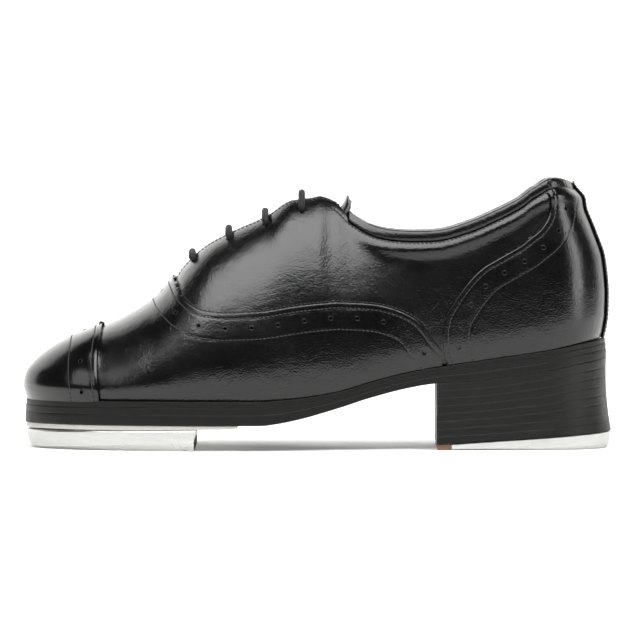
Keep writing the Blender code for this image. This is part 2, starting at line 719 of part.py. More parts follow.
def build_tongue():
    """Tongue and its lining, both turning about the seam at the throat."""
    root = tongue_point(TONGUE_ROOT, 0, 0) * MM
    hinge = bpy.data.objects.new("tongue_root", None)
    hinge.location = root
    parts.objects.link(hinge)
    sheets = [tongue_sheet("tongue", 0.0, TONGUE_LEATHER, 0.0, "black_leather"),
              tongue_sheet("tongue_lining", TONGUE_LEATHER + 1.6 * LAYER_SPACE, TONGUE_LINING, 0.6, "lining")]
    for sheet in sheets:
        sheet.parent = hinge
        sheet.matrix_parent_inverse = Matrix.Translation(-root)


# ---------------------------------------------------------------- eyelets and lace
def eyelet_x(row):
    return station(EYELET_LOWEST + (EYELET_HIGHEST - EYELET_LOWEST) * (row - 1) / (EYELET_ROWS - 1))


def eyelet_frame(side, row):
    """Centre on the outer surface and outward normal of one eyelet."""
    x = eyelet_x(row)
    q = q_at_half_width(x, facing_gap(x) + EYELET_FROM_EDGE)
    return upper_point(side, x, q), outward(side, x, q)


def build_eyelets(quarters, lining):
    bore, barrel, flange = EYELET_BORE / 2, EYELET_BORE / 2 + EYELET_WALL, EYELET_FLANGE / 2
    top = LINING_FRONT
    for side, word in ((1, "lateral"), (-1, "medial")):
        for row in range(1, EYELET_ROWS + 1):
            centre, normal = eyelet_frame(side, row)
            profile = [(barrel, top), (barrel, FLANGE_TOP), (flange, FLANGE_TOP),
                       (flange, FLANGE_INSIDE), (bore, FLANGE_INSIDE), (bore, top), (barrel, top)]
            turned(f"eyelet_{word}_{row}", profile, centre, normal, "blackened", 9)
            cut(quarters[side], cylinder_cutter(f"cut_facing_{word}_{row}", centre + normal * LAYER_3,
                                                normal, EYELET_BORE / 2 + SPACE, 6.0, 10))
            cut(lining, cylinder_cutter(f"cut_lining_{word}_{row}", centre + normal * LINING_FRONT,
                                        normal, barrel + SPACE, 3.2, 10))


def over_point(x, y):
    """Lace point lying on the facings, or across the gap between them."""
    side = 1 if y >= 0 else -1
    return skin(side, x, q_at_half_width(x, abs(y)), LACE_OVER)


def under_point(x, y):
    """Lace point in the channel between the facings' lining and the tongue."""
    side = 1 if y >= 0 else -1
    return skin(side, x, q_at_half_width(x, abs(y)), LACE_UNDER)


def through_eyelet(side, row, neighbour):
    """Points from the run under the facing, round the bend and straight out through one eyelet."""
    centre, normal = eyelet_frame(side, row)
    away = neighbour - centre
    away = (away - normal * away.dot(normal)).normalized()
    bend = centre + normal * (LACE_UNDER + 0.7) + away * 0.8
    return [bend] + [centre + normal * level for level in (FLANGE_INSIDE, LAYER_3 + 0.3, LAYER_3 + 2.0)]


def bar(row, start_side):
    """Straight run across the facings at one row."""
    x = eyelet_x(row)
    reach = facing_gap(x) + EYELET_FROM_EDGE - 3.2
    return [over_point(x, start_side * y) for y in (reach, reach / 3, -reach / 3, -reach)]


def diagonal(row):
    """Run under the facings from the medial eyelet of a row to the lateral one above."""
    x0, x1 = eyelet_x(row), eyelet_x(row + 1)
    reach = facing_gap(x0) + EYELET_FROM_EDGE
    places = ((0.12, 0.74), (0.33, 0.34), (0.67, -0.34), (0.88, -0.74))
    return [under_point(x0 + (x1 - x0) * t, -reach * y) for t, y in places]


def wall_point(side, x, height):
    """Lace point against the lining's inside, at a height above the sole edge."""
    inside = lining_offset(x) - LINING - 3 * SPACE - LACE_DIAMETER / 2
    return skin(side, x, q_at_height(x, height), inside)


def sock_point(x, y):
    """Lace point lying on the sock."""
    top = insole_bottom(x) + INSOLE_BOARD + SPACE + SOCK_THICKNESS
    return Vector((x, y, top + SPACE + LACE_DIAMETER / 2))


def lace_route():
    """Route points from the lateral end, up the rows, to the medial end."""
    route = [sock_point(x, y) for x, y in LATERAL_ON_SOCK]
    route += [wall_point(1, x, height) for x, height in LATERAL_ON_WALL]
    route += [under_point(x, 21.0) for x in (3.0, 20.0, 37.0, 52.0)]
    for row in range(1, EYELET_ROWS + 1):
        onward = diagonal(row) if row < EYELET_ROWS else [wall_point(-1, *p) for p in MEDIAL_ON_WALL]
        route += through_eyelet(1, row, route[-1])
        route += bar(row, 1)
        route += reversed(through_eyelet(-1, row, onward[0]))
        route += onward
    return route + [sock_point(x, y) for x, y in MEDIAL_ON_SOCK]


# loose ends, tucked down inside the mouth: (x, y) on the sock, and (x, height) on the walls
LATERAL_ON_SOCK = [(36.0, 22.0), (22.0, 22.5), (8.0, 23.0), (-5.0, 24.0)]
LATERAL_ON_WALL = [(-19.0, 13.0), (-29.0, 24.0), (-32.0, 38.0), (-27.0, 52.0), (-17.0, 63.0), (-6.0, 70.0)]
MEDIAL_ON_WALL = [(-4.0, 76.0), (-14.0, 68.0), (-24.0, 56.0), (-29.0, 42.0), (-27.0, 27.0), (-18.0, 15.0)]
MEDIAL_ON_SOCK = [(-5.0, -14.5), (9.0, -16.5), (23.0, -18.0), (35.0, -19.0)]


def catmull(points, spacing):
    """Points read along a smooth curve through the route, about spacing apart."""
    found = [points[0]]
    for i in range(len(points) - 1):
        p0 = points[max(i - 1, 0)]
        p1, p2 = points[i], points[i + 1]
        p3 = points[min(i + 2, len(points) - 1)]
        count = max(1, round((p2 - p1).length / spacing))
        for k in range(1, count + 1):
            t = k / count
            found.append(0.5 * (2 * p1 + (p2 - p0) * t + (2 * p0 - 5 * p1 + 4 * p2 - p3) * t ** 2
                                + (3 * p1 - p0 - 3 * p2 + p3) * t ** 3))
    return found


def tube(name, points, diameter, finish):
    curve = bpy.data.curves.new(name, "CURVE")
    curve.dimensions = "3D"
    spline = curve.splines.new("POLY")
    spline.points.add(len(points) - 1)
    for target, point in zip(spline.points, points):
        target.co = (*(point * MM), 1)
    curve.bevel_depth = diameter / 2 * MM
    curve.bevel_resolution = 2
    curve.use_fill_caps = True
    return add_object(name, curve, finish)


def build_lace():
    route = catmull(lace_route(), 11.0)
    length = sum((b - a).length for a, b in zip(route, route[1:]))
    print(f"lace: {length:.0f} mm between its tips, {len(route)} points")
    tube("lace", route, LACE_DIAMETER, "black_cord")
    ends = {"lace_tip_lateral": (route[0], route[1]), "lace_tip_medial": (route[-1], route[-2])}
    for name, (end, before) in ends.items():
        way = (end - before).normalized()
        tube(name, [end + way * SPACE, end + way * (SPACE + LACE_TIP_LENGTH)], LACE_TIP_DIAMETER, "plastic")


# ---------------------------------------------------------------- the bottom
def layer_heights(upper_part, lower_part):
    """Heights of a sole layer between two shares of the sole edge's thickness."""
    top = lambda x: sole_top(x) - sole_edge(x) * upper_part - (SPACE / 2 if upper_part else 0)
    bottom = lambda x: sole_top(x) - sole_edge(x) * lower_part + (SPACE / 2 if lower_part < 1 else 0)
    return bottom, top


RAND_SHARE = 0.24
MIDSOLE_SHARE = 0.54
RAND_WIDTH = 9.0


def build_soles():
    xs = full_stations()
    bottom, top = layer_heights(RAND_SHARE, MIDSOLE_SHARE)
    midsole = ladder("midsole", xs, lambda side, x: sole_point(side, x, 0.4), bottom, top, "black_edge")
    bottom, top = layer_heights(MIDSOLE_SHARE, 1.0)
    return midsole, ladder("outsole", xs, sole_point, bottom, top, "black_edge")


def build_rand():
    """Ring of leather between upper and midsole: flat strips joined round the plan."""
    bottom, top = layer_heights(0.0, RAND_SHARE)
    xs = full_stations()
    loop = [(1, x) for x in xs] + [(-1, x) for x in reversed(xs[1:-1])]
    vertices = []
    for side, x in loop:
        for inset in (0.8, RAND_WIDTH):
            px, py = sole_point(side, x, inset)
            vertices += [(px, py, bottom(px)), (px, py, top(px))]
    faces = []
    count = len(loop)
    for i in range(count):
        a, b = 4 * i, 4 * ((i + 1) % count)
        faces += [(a, b, b + 1, a + 1), (a + 1, b + 1, b + 3, a + 3),
                  (a + 3, b + 3, b + 2, a + 2), (a + 2, b + 2, b, a)]
    mesh = mesh_from("rand", vertices, faces)
    bm = bmesh.new()
    bm.from_mesh(mesh)
    bmesh.ops.recalc_face_normals(bm, faces=bm.faces)
    bm.to_mesh(mesh)
    bm.free()
    add_object("rand", mesh, "black_edge")


def build_inner_bottom():
    rand_bottom, rand_top = layer_heights(0.0, RAND_SHARE)
    inside = RAND_WIDTH + SPACE + CORK_CLEARANCE
    xs = even(station(0.50), TOE_X, 12) + toe_stations(7)
    ladder("cork_filler", xs, lambda side, x: sole_point(side, x, inside), rand_bottom, rand_top, "cork")
    ladder("shank", even(station(0.19), station(0.50) - 3.0, 14),
           lambda side, x: (x, centre_y(x) + side * SHANK_WIDTH / 2),
           rand_bottom, lambda x: rand_bottom(x) + SHANK_THICKNESS, "steel")
    xs = full_stations()
    board = ladder("insole_board", xs, lambda side, x: sole_point(side, x, INSOLE_INSET), insole_bottom,
                   lambda x: insole_bottom(x) + INSOLE_BOARD, "board")
    sock_bottom = lambda x: insole_bottom(x) + INSOLE_BOARD + SPACE
    ladder("sock_liner", xs, lambda side, x: sole_point(side, x, INSOLE_INSET - 0.4), sock_bottom,
           lambda x: sock_bottom(x) + SOCK_THICKNESS, "lining")
    pad_bottom = lambda x: sock_bottom(x) + SOCK_THICKNESS + SPACE
    ladder("heel_pad", heel_stations(8) + even(HEEL_X, station(0.25), 5),
           lambda side, x: sole_point(side, x, INSOLE_INSET + 1.5), pad_bottom,
           lambda x: pad_bottom(x) + HEEL_PAD_THICKNESS, "lining")
    return board


def insole_bottom(x):
    return sole_top(x) + SPACE


INSOLE_INSET = FEATHER_INSET + 9.2


# ---------------------------------------------------------------- the heel
def heel_top(x):
    return sole_top(x) - sole_edge(x) - SPACE


def heel_bottom(x):
    """Foot of the heel block, which the heel tap carries."""
    return HEEL_TAP_FRONT + (HEEL_TAP_BACK - HEEL_TAP_FRONT) * (BREAST_X - x) / (BREAST_X - station(0))


def heel_edge(drop, inset=0.0):
    """Plan of the heel at a share of its height down: a little waisted, then flared."""
    spread = 4 * HEEL_WAIST_IN * (drop ** 2 - drop) + HEEL_FLARE * drop ** 2
    return lambda side, x: sole_point(side, x, inset - spread * fan_share(x))


def fan_share(x):
    """1 at the very back, falling to 0.35 at the breast, for the heel's flare."""
    return 0.35 + 0.65 * min(max((BREAST_X - x) / (BREAST_X - station(0)), 0), 1)


def heel_stations_to_breast():
    return heel_stations(9) + even(HEEL_X, BREAST_X, 5)


def build_heel():
    xs = heel_stations_to_breast()
    made = []
    layers = HEEL_LIFTS + 1
    for i in range(layers):
        upper, lower = i / layers, (i + 1) / layers
        name = "heel_top_piece" if i == HEEL_LIFTS else f"heel_lift_{i + 1}"
        top = lambda x, part=upper: heel_top(x) * (1 - part) + heel_bottom(x) * part
        gap = SPACE if i < HEEL_LIFTS else 0.0
        bottom = lambda x, part=lower, g=gap: heel_top(x) * (1 - part) + heel_bottom(x) * part + g
        made.append(ladder(name, xs, heel_edge((upper + lower) / 2), bottom, top, "lift"))
    return made


# ---------------------------------------------------------------- the taps
def toe_tap_top(x):
    return TOE_TAP_REAR + (TOE_TAP_TIP - TOE_TAP_REAR) * (x - tap_rear_x()) / TOE_TAP_LENGTH


def tap_rear_x():
    return station(1) - SOLE_TIP_INSET - TOE_TAP_LENGTH


def lofted_plate(name, rings, finish):
    """Solid through rings of points that all have the same count, closed by fans at both ends."""
    count = len(rings[0])
    vertices = [p for ring in rings for p in ring]
    faces = []
    for r in range(len(rings) - 1):
        for i in range(count):
            j = (i + 1) % count
            faces.append((r * count + i, r * count + j, (r + 1) * count + j, (r + 1) * count + i))
    faces.append(tuple(range(count)))
    faces.append(tuple((len(rings) - 1) * count + i for i in range(count)))
    mesh = bpy.data.meshes.new(name)
    bm = bmesh.new()
    made = [bm.verts.new(Vector(v) * MM) for v in vertices]
    for face in faces:
        bm.faces.new([made[i] for i in face])
    bmesh.ops.recalc_face_normals(bm, faces=bm.faces)
    bm.to_mesh(mesh)
    bm.free()
    mesh.shade_smooth()
    mesh.set_sharp_from_angle(angle=math.radians(30))
    return add_object(name, mesh, finish)


def plate_ring(xs, edge, height, front):
    """Closed outline: one side out, the other back; front is the x of the straight edge."""
    back = [x for x in reversed(xs) if abs(edge(1, x)[1] - edge(-1, x)[1]) > 0.5]
    loop = [(1, x) for x in xs] + [(-1, x) for x in back]
    ring = []
    for side, x in loop:
        px, py = edge(side, x)
        if abs(x - xs[0]) < 1e-6:
            px = front
        ring.append((px, py, height(px)))
    return ring


def build_toe_tap():
    rear = tap_rear_x()
    xs = [rear] + even(rear, TOE_X, 6)[1:] + toe_stations(9)
    bevel = lambda x: TOE_TAP_BEVEL_TIP + TOE_TAP_BEVEL_GROWTH * (1 - (x - rear) / TOE_TAP_LENGTH)
    rings = [
        plate_ring(xs, lambda s, x: sole_point(s, x, 1.0), toe_tap_top, rear + 1.0),
        plate_ring(xs, lambda s, x: sole_point(s, x, 0.2), lambda x: toe_tap_top(x) - 0.8, rear),
        plate_ring(xs, lambda s, x: sole_point(s, x, TOE_TAP_DRAFT), bevel, rear + 1.0),
        plate_ring(xs, lambda s, x: sole_point(s, x, TOE_TAP_DRAFT + 2.5), zero, rear + 5.0),
    ]
    return lofted_plate("toe_tap", rings, "aluminium")


def build_tap_board():
    rear = tap_rear_x() - TAP_BOARD_OVERHANG
    xs = even(rear, TOE_X, 8) + toe_stations(8)
    outsole_bottom = lambda x: sole_top(x) - sole_edge(x) - SPACE
    growth = lambda x: min(1, (x - rear) / TAP_BOARD_OVERHANG)
    thickness = lambda x: TAP_BOARD_SKIVED + (TAP_BOARD_THICKNESS - TAP_BOARD_SKIVED) * growth(x)
    low = lambda x: max(toe_tap_top(max(x, tap_rear_x())) + SPACE, outsole_bottom(x) - thickness(x))
    return ladder("toe_tap_board", xs, lambda s, x: sole_point(s, x, 0.5), low, outsole_bottom, "board")


def build_heel_tap():
    front = BREAST_X - HEEL_TAP_SETBACK
    edge = lambda inset: (lambda s, x: heel_edge(1.0, inset)(s, x))
    xs = list(reversed(heel_stations(9) + even(HEEL_X, front, 4)))
    top = lambda x: heel_bottom(x) - SPACE
    bevel = lambda x: HEEL_TAP_BEVEL + HEEL_TAP_BEVEL_GROWTH * (front - x)
    rings = [
        plate_ring(xs, edge(0.8), top, front - 0.6),
        plate_ring(xs, edge(0.2), lambda x: top(x) - 0.6, front),
        plate_ring(xs, edge(1.0), bevel, front - 0.3),
        plate_ring(xs, edge(2.4), zero, front - 1.4),
    ]
    return lofted_plate("heel_tap", rings, "aluminium")


# ---------------------------------------------------------------- screws and nails
def screw_places():
    """Name, plan position, height of the metal's top and seat thickness of each tap screw."""
    places = []
    for word, u, across in TOE_SCREWS:
        x = station(u)
        y = centre_y(x) + across * half_width(x)
        places.append((f"toe_tap_screw_{word}", x, y, toe_tap_top(x), TOE_SCREW_SEAT, "toe"))
    for word, u, across in HEEL_SCREWS:
        x = station(u)
        y = centre_y(x) + across * half_width(x)
        places.append((f"heel_tap_screw_{word}", x, y, heel_bottom(x) - SPACE, HEEL_SCREW_SEAT, "heel"))
    return places


def rod(radius, top, bottom):
    """Profile of a plain round rod, for holes."""
    return [(0, top), (radius, top), (radius, bottom), (0, bottom)]


def build_tap_screws(toe_pieces, heel_pieces):
    """Slotted screws in deep counterbores; each turns on its own axis."""
    head, shank = SCREW_HEAD / 2, SCREW_SHANK / 2
    for name, x, y, metal_top, seat, end in screw_places():
        head_top = metal_top - seat - SPACE
        profile = [(0, SCREW_LENGTH), (shank - SCREW_POINT, SCREW_LENGTH),
                   (shank, SCREW_LENGTH - 2 * SCREW_POINT), (shank, 0), (head, 0),
                   (head, -SCREW_HEAD_HEIGHT * 0.6), (head - SCREW_DOME, -SCREW_HEAD_HEIGHT),
                   (0, -SCREW_HEAD_HEIGHT)]
        screw = turned(name, profile, (x, y, head_top), (0, 0, 1), "steel", 12)
        cut(screw, box_cutter("cut_slot_" + name, (x, y, head_top - SCREW_HEAD_HEIGHT),
                              (SCREW_HEAD + 1, SCREW_SLOT, SCREW_HEAD_HEIGHT)))
        recess = rod(head + SCREW_CLEARANCE, head_top + SPACE, -BELOW_FLOOR)
        pilot = rod(shank + SCREW_CLEARANCE, head_top + SCREW_LENGTH + SPACE, head_top - 1.0)
        recess_cutter = turned("cut_recess_" + name, recess, (x, y, 0), (0, 0, 1), None, 16, cutters)
        pilot_cutter = turned("cut_pilot_" + name, pilot, (x, y, 0), (0, 0, 1), None, 12, cutters)
        pieces = toe_pieces if end == "toe" else heel_pieces
        cut(pieces[0], recess_cutter)
        for piece in pieces:
            cut(piece, pilot_cutter)


def box_cutter(name, centre, size):
    bpy.ops.mesh.primitive_cube_add(size=1, location=Vector(centre) * MM)
    cube = bpy.context.object
    cube.name = name
    cube.scale = Vector(size) * MM
    for collection in list(cube.users_collection):
        collection.objects.unlink(cube)
    cutters.objects.link(cube)
    return cube


def build_heel_nails(pieces):
    """Nails driven from the insole through the sole into the heel's lifts."""
    shank, head = NAIL_DIAMETER / 2, NAIL_DIAMETER / 2 + NAIL_HEAD_RIM
    for word, u, across in HEEL_NAILS:
        x = station(u)
        y = centre_y(x) + across * half_width(x)
        top = insole_bottom(x) + INSOLE_BOARD
        under_head = top - NAIL_HEAD_RIM
        profile = [(0, top), (head, top), (head, under_head), (shank, under_head),
                   (shank, top - NAIL_LENGTH + NAIL_DIAMETER), (0, top - NAIL_LENGTH)]
        turned(f"heel_nail_{word}", profile, (x, y, 0), (0, 0, 1), "steel", 8)
        foot = top - NAIL_LENGTH - 1.0
        hole = [(0, top + 1), (head + SPACE, top + 1), (head + SPACE, under_head - SPACE),
                (shank + SPACE, under_head - SPACE), (shank + SPACE, foot), (0, foot)]
        cutter = turned(f"cut_nail_{word}", hole, (x, y, 0), (0, 0, 1), None, 8, cutters)
        for piece in pieces:
            cut(piece, cutter)


def main():
    for obj in list(bpy.data.objects):
        bpy.data.objects.remove(obj, do_unlink=True)
    scene = bpy.context.scene.collection
    scene.children.link(parts)
    scene.children.link(cutters)
    build_toe_cap()
    build_toe_puff()
    build_vamp()
    quarters = build_quarters()
    build_counter_cover()
    build_back_strip()
    build_heel_stiffener()
    lining = build_linings()
    build_collar_binding()
    build_tongue()
    build_eyelets(quarters, lining)
    build_lace()
    midsole, outsole = build_soles()
    build_rand()
    board = build_inner_bottom()
    lifts = build_heel()
    toe_tap = build_toe_tap()
    tap_board = build_tap_board()
    heel_tap = build_heel_tap()
    build_tap_screws([toe_tap, tap_board, outsole], [heel_tap] + lifts[-3:])
    build_heel_nails([board, midsole, outsole] + lifts[:4])


main()
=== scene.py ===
# %% [markdown]
# # A black cap-toe tap shoe
# A tap shoe is an oxford with a stiff layered sole and two loose-sounding aluminium plates. The leather
# pieces are cut flat, stitched to each other, and pulled over a last, so all of them lie on one smooth
# surface. This lesson rebuilds that surface as a formula, then lays each leather piece, each row of
# stitches and each punched hole on it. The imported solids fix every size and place.

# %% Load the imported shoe
import math

import bmesh
import bpy
import numpy as np
from mathutils import Matrix, Vector, kdtree, noise


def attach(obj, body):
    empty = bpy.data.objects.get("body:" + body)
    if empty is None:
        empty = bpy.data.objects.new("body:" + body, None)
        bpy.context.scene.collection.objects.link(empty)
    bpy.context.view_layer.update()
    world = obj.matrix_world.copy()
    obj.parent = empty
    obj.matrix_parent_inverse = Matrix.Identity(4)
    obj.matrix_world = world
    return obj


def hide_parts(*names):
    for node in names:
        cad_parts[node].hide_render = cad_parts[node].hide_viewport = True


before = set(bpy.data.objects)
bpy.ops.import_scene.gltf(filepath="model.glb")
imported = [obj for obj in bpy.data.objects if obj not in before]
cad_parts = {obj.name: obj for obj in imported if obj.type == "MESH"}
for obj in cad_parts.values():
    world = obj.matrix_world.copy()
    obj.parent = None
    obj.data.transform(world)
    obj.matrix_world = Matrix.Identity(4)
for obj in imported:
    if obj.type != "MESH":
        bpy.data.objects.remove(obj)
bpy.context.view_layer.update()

MM = 0.001
BODY = "shoe"

# %% [markdown]
# ## Camera, lights and floor
# A long lens from the side keeps the toe and the heel at the same size, as in a catalogue. Polished black
# leather shows almost no colour of its own: what the eye sees is what it mirrors. So the light is built
# first: a white floor gives the low grey sheen, a dark gap at the camera's height gives the deep black
# middle, and a wide softbox overhead gives the bright bands.

# %% Camera
LENS = 400.0
VIEW_WIDTH = 0.3122          # metres of the scene across the picture
VIEW_CENTRE = Vector((-0.0017, 0.0, 0.0616))
ELEVATION = math.radians(1.6)

camera_data = bpy.data.cameras.new("camera")
camera_data.lens = LENS
camera_data.clip_end = 20
camera = bpy.data.objects.new("camera", camera_data)
distance = VIEW_WIDTH * LENS / camera_data.sensor_width
back = Vector((0, math.cos(ELEVATION), math.sin(ELEVATION)))
camera.location = VIEW_CENTRE + back * distance
camera.rotation_euler = back.to_track_quat("Z", "Y").to_euler()
bpy.context.scene.collection.objects.link(camera)
bpy.context.scene.camera = camera
print(f"camera {distance:.2f} m away")

# %% [markdown]
# ## Finishes
# Every finish is built from nodes: a base colour, then grain or ruling that changes colour, gloss and
# height together. These helpers turn a hex colour into a linear one and start a material.

# %% A colour and a node helper
def linear(code):
    """Linear colour of an sRGB hex code."""
    parts = [int(code[i:i + 2], 16) / 255 for i in (1, 3, 5)]
    return (*[c / 12.92 if c <= 0.04045 else ((c + 0.055) / 1.055) ** 2.4 for c in parts], 1.0)


def add(tree, kind, inputs=None, **settings):
    """A new node with its settings, its input values and its links."""
    made = tree.nodes.new(kind)
    for key, value in settings.items():
        setattr(made, key, value)
    for key, value in (inputs or {}).items():
        if isinstance(value, bpy.types.NodeSocket):
            tree.links.new(value, made.inputs[key])
        else:
            made.inputs[key].default_value = value
    return made


def start_material(name, **sockets):
    """A material with one Principled shader; values go on its own sockets."""
    made = bpy.data.materials.new(name)
    made.use_nodes = True
    shader = made.node_tree.nodes["Principled BSDF"]
    for key, value in sockets.items():
        shader.inputs[key.replace("_", " ").title().replace("Ior", "IOR")].default_value = value
    place = add(made.node_tree, "ShaderNodeTexCoord").outputs["Object"]
    return made, made.node_tree, shader, place

# %% [markdown]
# ## Lights
# Polished black leather shows only what it reflects, so three broad soft sources draw its shape: one
# above and small ones at the toe and heel. The rest of the surroundings stay dark.

# %% Lights
def softbox(name, place, target, width, height, power):
    data = bpy.data.lights.new(name, "AREA")
    data.shape = "RECTANGLE"
    data.size, data.size_y = width, height
    data.energy = power
    lamp = bpy.data.objects.new(name, data)
    lamp.location = place
    lamp.rotation_euler = (Vector(place) - Vector(target)).to_track_quat("Z", "Y").to_euler()
    bpy.context.scene.collection.objects.link(lamp)
    return lamp


softbox("softbox_above", (0.0, 0.48, 0.92), (0, 0, 0.05), 1.3, 0.85, 18.0)
softbox("softbox_toe", (1.0, 0.55, 0.55), (0, 0, 0.06), 0.5, 0.5, 1.4)
softbox("softbox_heel", (-1.1, 0.35, 0.35), (0, 0, 0.06), 0.3, 0.6, 2.6)

world = bpy.data.worlds.new("studio")
world.use_nodes = True
world.node_tree.nodes["Background"].inputs["Color"].default_value = linear("#5a5a5a")
world.node_tree.nodes["Background"].inputs["Strength"].default_value = 0.2
bpy.context.scene.world = world
# paper white stays white and polished black stays black
bpy.context.scene.view_settings.view_transform = "Standard"

# %% [markdown]
# ## White sweep
# A studio shoot lays one sheet of white paper under the shoe and up behind it, with no fold to catch
# the eye. The paper glows further from the shoe, so it reads as evenly lit.

# %% Floor and backdrop, one white sweep
paper, tree, shader, place = start_material("white_paper_sweep", base_color=linear("#f4f4f2"), roughness=0.9)
fibres = add(tree, "ShaderNodeTexNoise", {"Vector": place, "Scale": 90.0, "Detail": 4.0})
tint = add(tree, "ShaderNodeMix", {"Factor": fibres.outputs["Fac"], "A": linear("#f1f1ef"), "B": linear("#fbfbfa")},
           data_type="RGBA")
tree.links.new(tint.outputs[2], shader.inputs["Base Color"])
# the far paper is lit on its own, so it stays white where the softbox no longer reaches it
away = add(tree, "ShaderNodeVectorMath", {0: place, 1: (0.0, 0.3, 0.0)}, operation="DISTANCE")
glow = add(tree, "ShaderNodeMapRange", {"Value": away.outputs["Value"], "From Min": 0.15, "From Max": 0.95,
                                        "To Min": 0.0, "To Max": 0.9})
tree.links.new(tint.outputs[2], shader.inputs["Emission Color"])
tree.links.new(glow.outputs[0], shader.inputs["Emission Strength"])

FLOOR_HALF, SWEEP_START, SWEEP_RADIUS, SWEEP_TOP = 2.2, -0.7, 0.5, 1.6
profile = [(1.6, 0.0), (SWEEP_START, 0.0)]
profile += [(SWEEP_START - SWEEP_RADIUS * math.sin(a), SWEEP_RADIUS * (1 - math.cos(a)))
            for a in np.linspace(0.1, math.pi / 2, 12)]
profile += [(SWEEP_START - SWEEP_RADIUS, SWEEP_TOP)]
sweep_mesh = bpy.data.meshes.new("paper_sweep")
sweep_mesh.from_pydata([(x, y, z) for y, z in profile for x in (-FLOOR_HALF, FLOOR_HALF)], [],
                       [(2 * i, 2 * i + 2, 2 * i + 3, 2 * i + 1) for i in range(len(profile) - 1)])
sweep_mesh.shade_smooth()
sweep_mesh.materials.append(paper)
sweep = bpy.data.objects.new("paper_sweep", sweep_mesh)
bpy.context.scene.collection.objects.link(sweep)

# %% [markdown]
# ## The last's surface
# A last is the solid foot form the shoe is made over. Here it is a handful of curves read along the
# shoe's length: the middle line, the half-width, the height of the sole edge, the height of the topline
# and how square the section is. A monotone cubic keeps each curve smooth with few points. Sizes are in
# millimetres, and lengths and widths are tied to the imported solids.

# %% Smooth curves
def curve(points):
    """A function through the points, smooth and without overshoot."""
    xs, ys = (np.array(column, float) for column in zip(*points))
    width = np.diff(xs)
    slope = np.diff(ys) / width
    product = slope[:-1] * slope[1:]
    total = np.where(product > 0, slope[:-1] + slope[1:], 1.0)
    tangent = np.concatenate([slope[:1], np.where(product > 0, 2 * product / total, 0.0), slope[-1:]])

    def value(place):
        u = np.clip(np.asarray(place, float), xs[0], xs[-1])
        i = np.clip(np.searchsorted(xs, u, side="right") - 1, 0, len(width) - 1)
        t = (u - xs[i]) / width[i]
        return ((2 * t ** 3 - 3 * t ** 2 + 1) * ys[i] + (t ** 3 - 2 * t ** 2 + t) * width[i] * tangent[i]
                + (3 * t ** 2 - 2 * t ** 3) * ys[i + 1] + (t ** 3 - t ** 2) * width[i] * tangent[i + 1])

    return value

# %% [markdown]
# ## Sizes of the last
# A shoe is built round a last, so its length, ball, waist and heel widths drive all the rest. Heights
# and widths are smooth curves over the share of the length, from heel to toe.

# %% The shoe's driving sizes and curves
LENGTH = 286.0
BALL, WAIST, HEEL, TOE = 105.0 / 2, 66.5 / 2, 71.0 / 2, 88.0 / 2
SOLE_TOP, HEEL_RISE, SEAT_RISE = 23.6, 16.0, 13.9
HEEL_POLE, TOE_POLE, BREAST = 0.13, 0.865, 0.297
SPACE = 0.3

centre_curve = curve([(0, 0.0), (0.13, 0.0), (0.29, 2.4), (0.40, 4.4), (0.50, 4.4), (0.62, 1.6),
                      (0.72, -1.6), (0.865, -4.6), (1.0, -7.0)])
width_curve = curve([(0, HEEL * 0.95), (0.13, HEEL), (0.29, WAIST * 0.995), (0.36, WAIST), (0.50, BALL * 0.775),
                     (0.62, BALL * 0.955), (0.70, BALL), (0.79, BALL * 0.95), (0.865, TOE),
                     (0.93, TOE * 0.90), (1.0, TOE * 0.80)])
rise_curve = curve([(0.297, 1.0), (0.337, 0.87), (0.367, 0.75), (0.4126, 0.53), (0.458, 0.29), (0.52, 0.10),
                    (0.585, 0.0)])
seat_curve = curve([(0, 1.0), (0.047, 0.83), (0.105, 0.585), (0.196, 0.30), (0.297, 0.0)])
top_curve = curve([(0, 74.6), (0.045, 78.4), (0.087, 80.0), (0.13, 78.7), (0.157, 74.4), (0.196, 70.2),
                   (0.247, 66.2), (0.29, 64.6), (0.332, 66.1), (0.371, 69.2), (0.406, 74.3), (0.436, 82.0),
                   (0.468, 93.4), (0.50, 98.6), (0.54, 98.2), (0.591, 90.4), (0.657, 81.6), (0.692, 75.8),
                   (0.726, 66.8), (0.752, 56.8), (0.782, 48.0), (0.832, 39.2), (0.865, 34.8)])
mouth_curve = curve([(0, 26.0), (0.13, 26.5), (0.247, 28.0), (0.332, 25.5), (0.39, 21.0), (0.44, 14.0),
                     (0.475, 6.5), (0.51, 0.0)])
roundness_curve = curve([(0.34, 1.0), (0.42, 1.08), (0.47, 1.4), (0.52, 2.0), (0.865, 2.15)])
back_curve = curve([(0, 2.4), (0.06, 1.2), (0.16, 0.2), (0.28, 0.0), (0.51, 1.6), (0.68, 5.9), (0.81, 10.0),
                    (0.905, 13.2), (1.0, 17.0)])
toe_curve = curve([(0, 1.6), (0.2, 0.0), (0.35, 1.1), (0.5, 5.1), (0.7, 13.9), (0.87, 25.0), (1.0, 36.8)])
TOE_SET_BACK = 36.8
wing_curve = curve([(0.266, 0.0), (0.295, 10.3), (0.33, 24.2), (0.383, 34.5), (0.413, 38.3), (0.473, 43.7),
                    (0.52, 44.6), (0.61, 42.9), (0.654, 42.5), (0.693, 43.8), (0.714, 46.8), (0.7325, 51.9),
                    (0.745, 59.1)])
THROAT = 0.745
cover_edge = curve([(0, 0.2776), (0.12, 0.2850), (0.24, 0.2863), (0.36, 0.2811), (0.47, 0.2657), (0.58, 0.2437),
                    (0.655, 0.2182), (0.69, 0.1808), (0.715, 0.1399), (0.75, 0.1147), (0.81, 0.0951),
                    (0.88, 0.0878), (0.956, 0.0935)])
edge_curve = curve([(0, 9.2), (0.20, 9.2), (0.33, 7.0), (0.43, 7.0), (0.60, 11.3), (1, 11.3)])

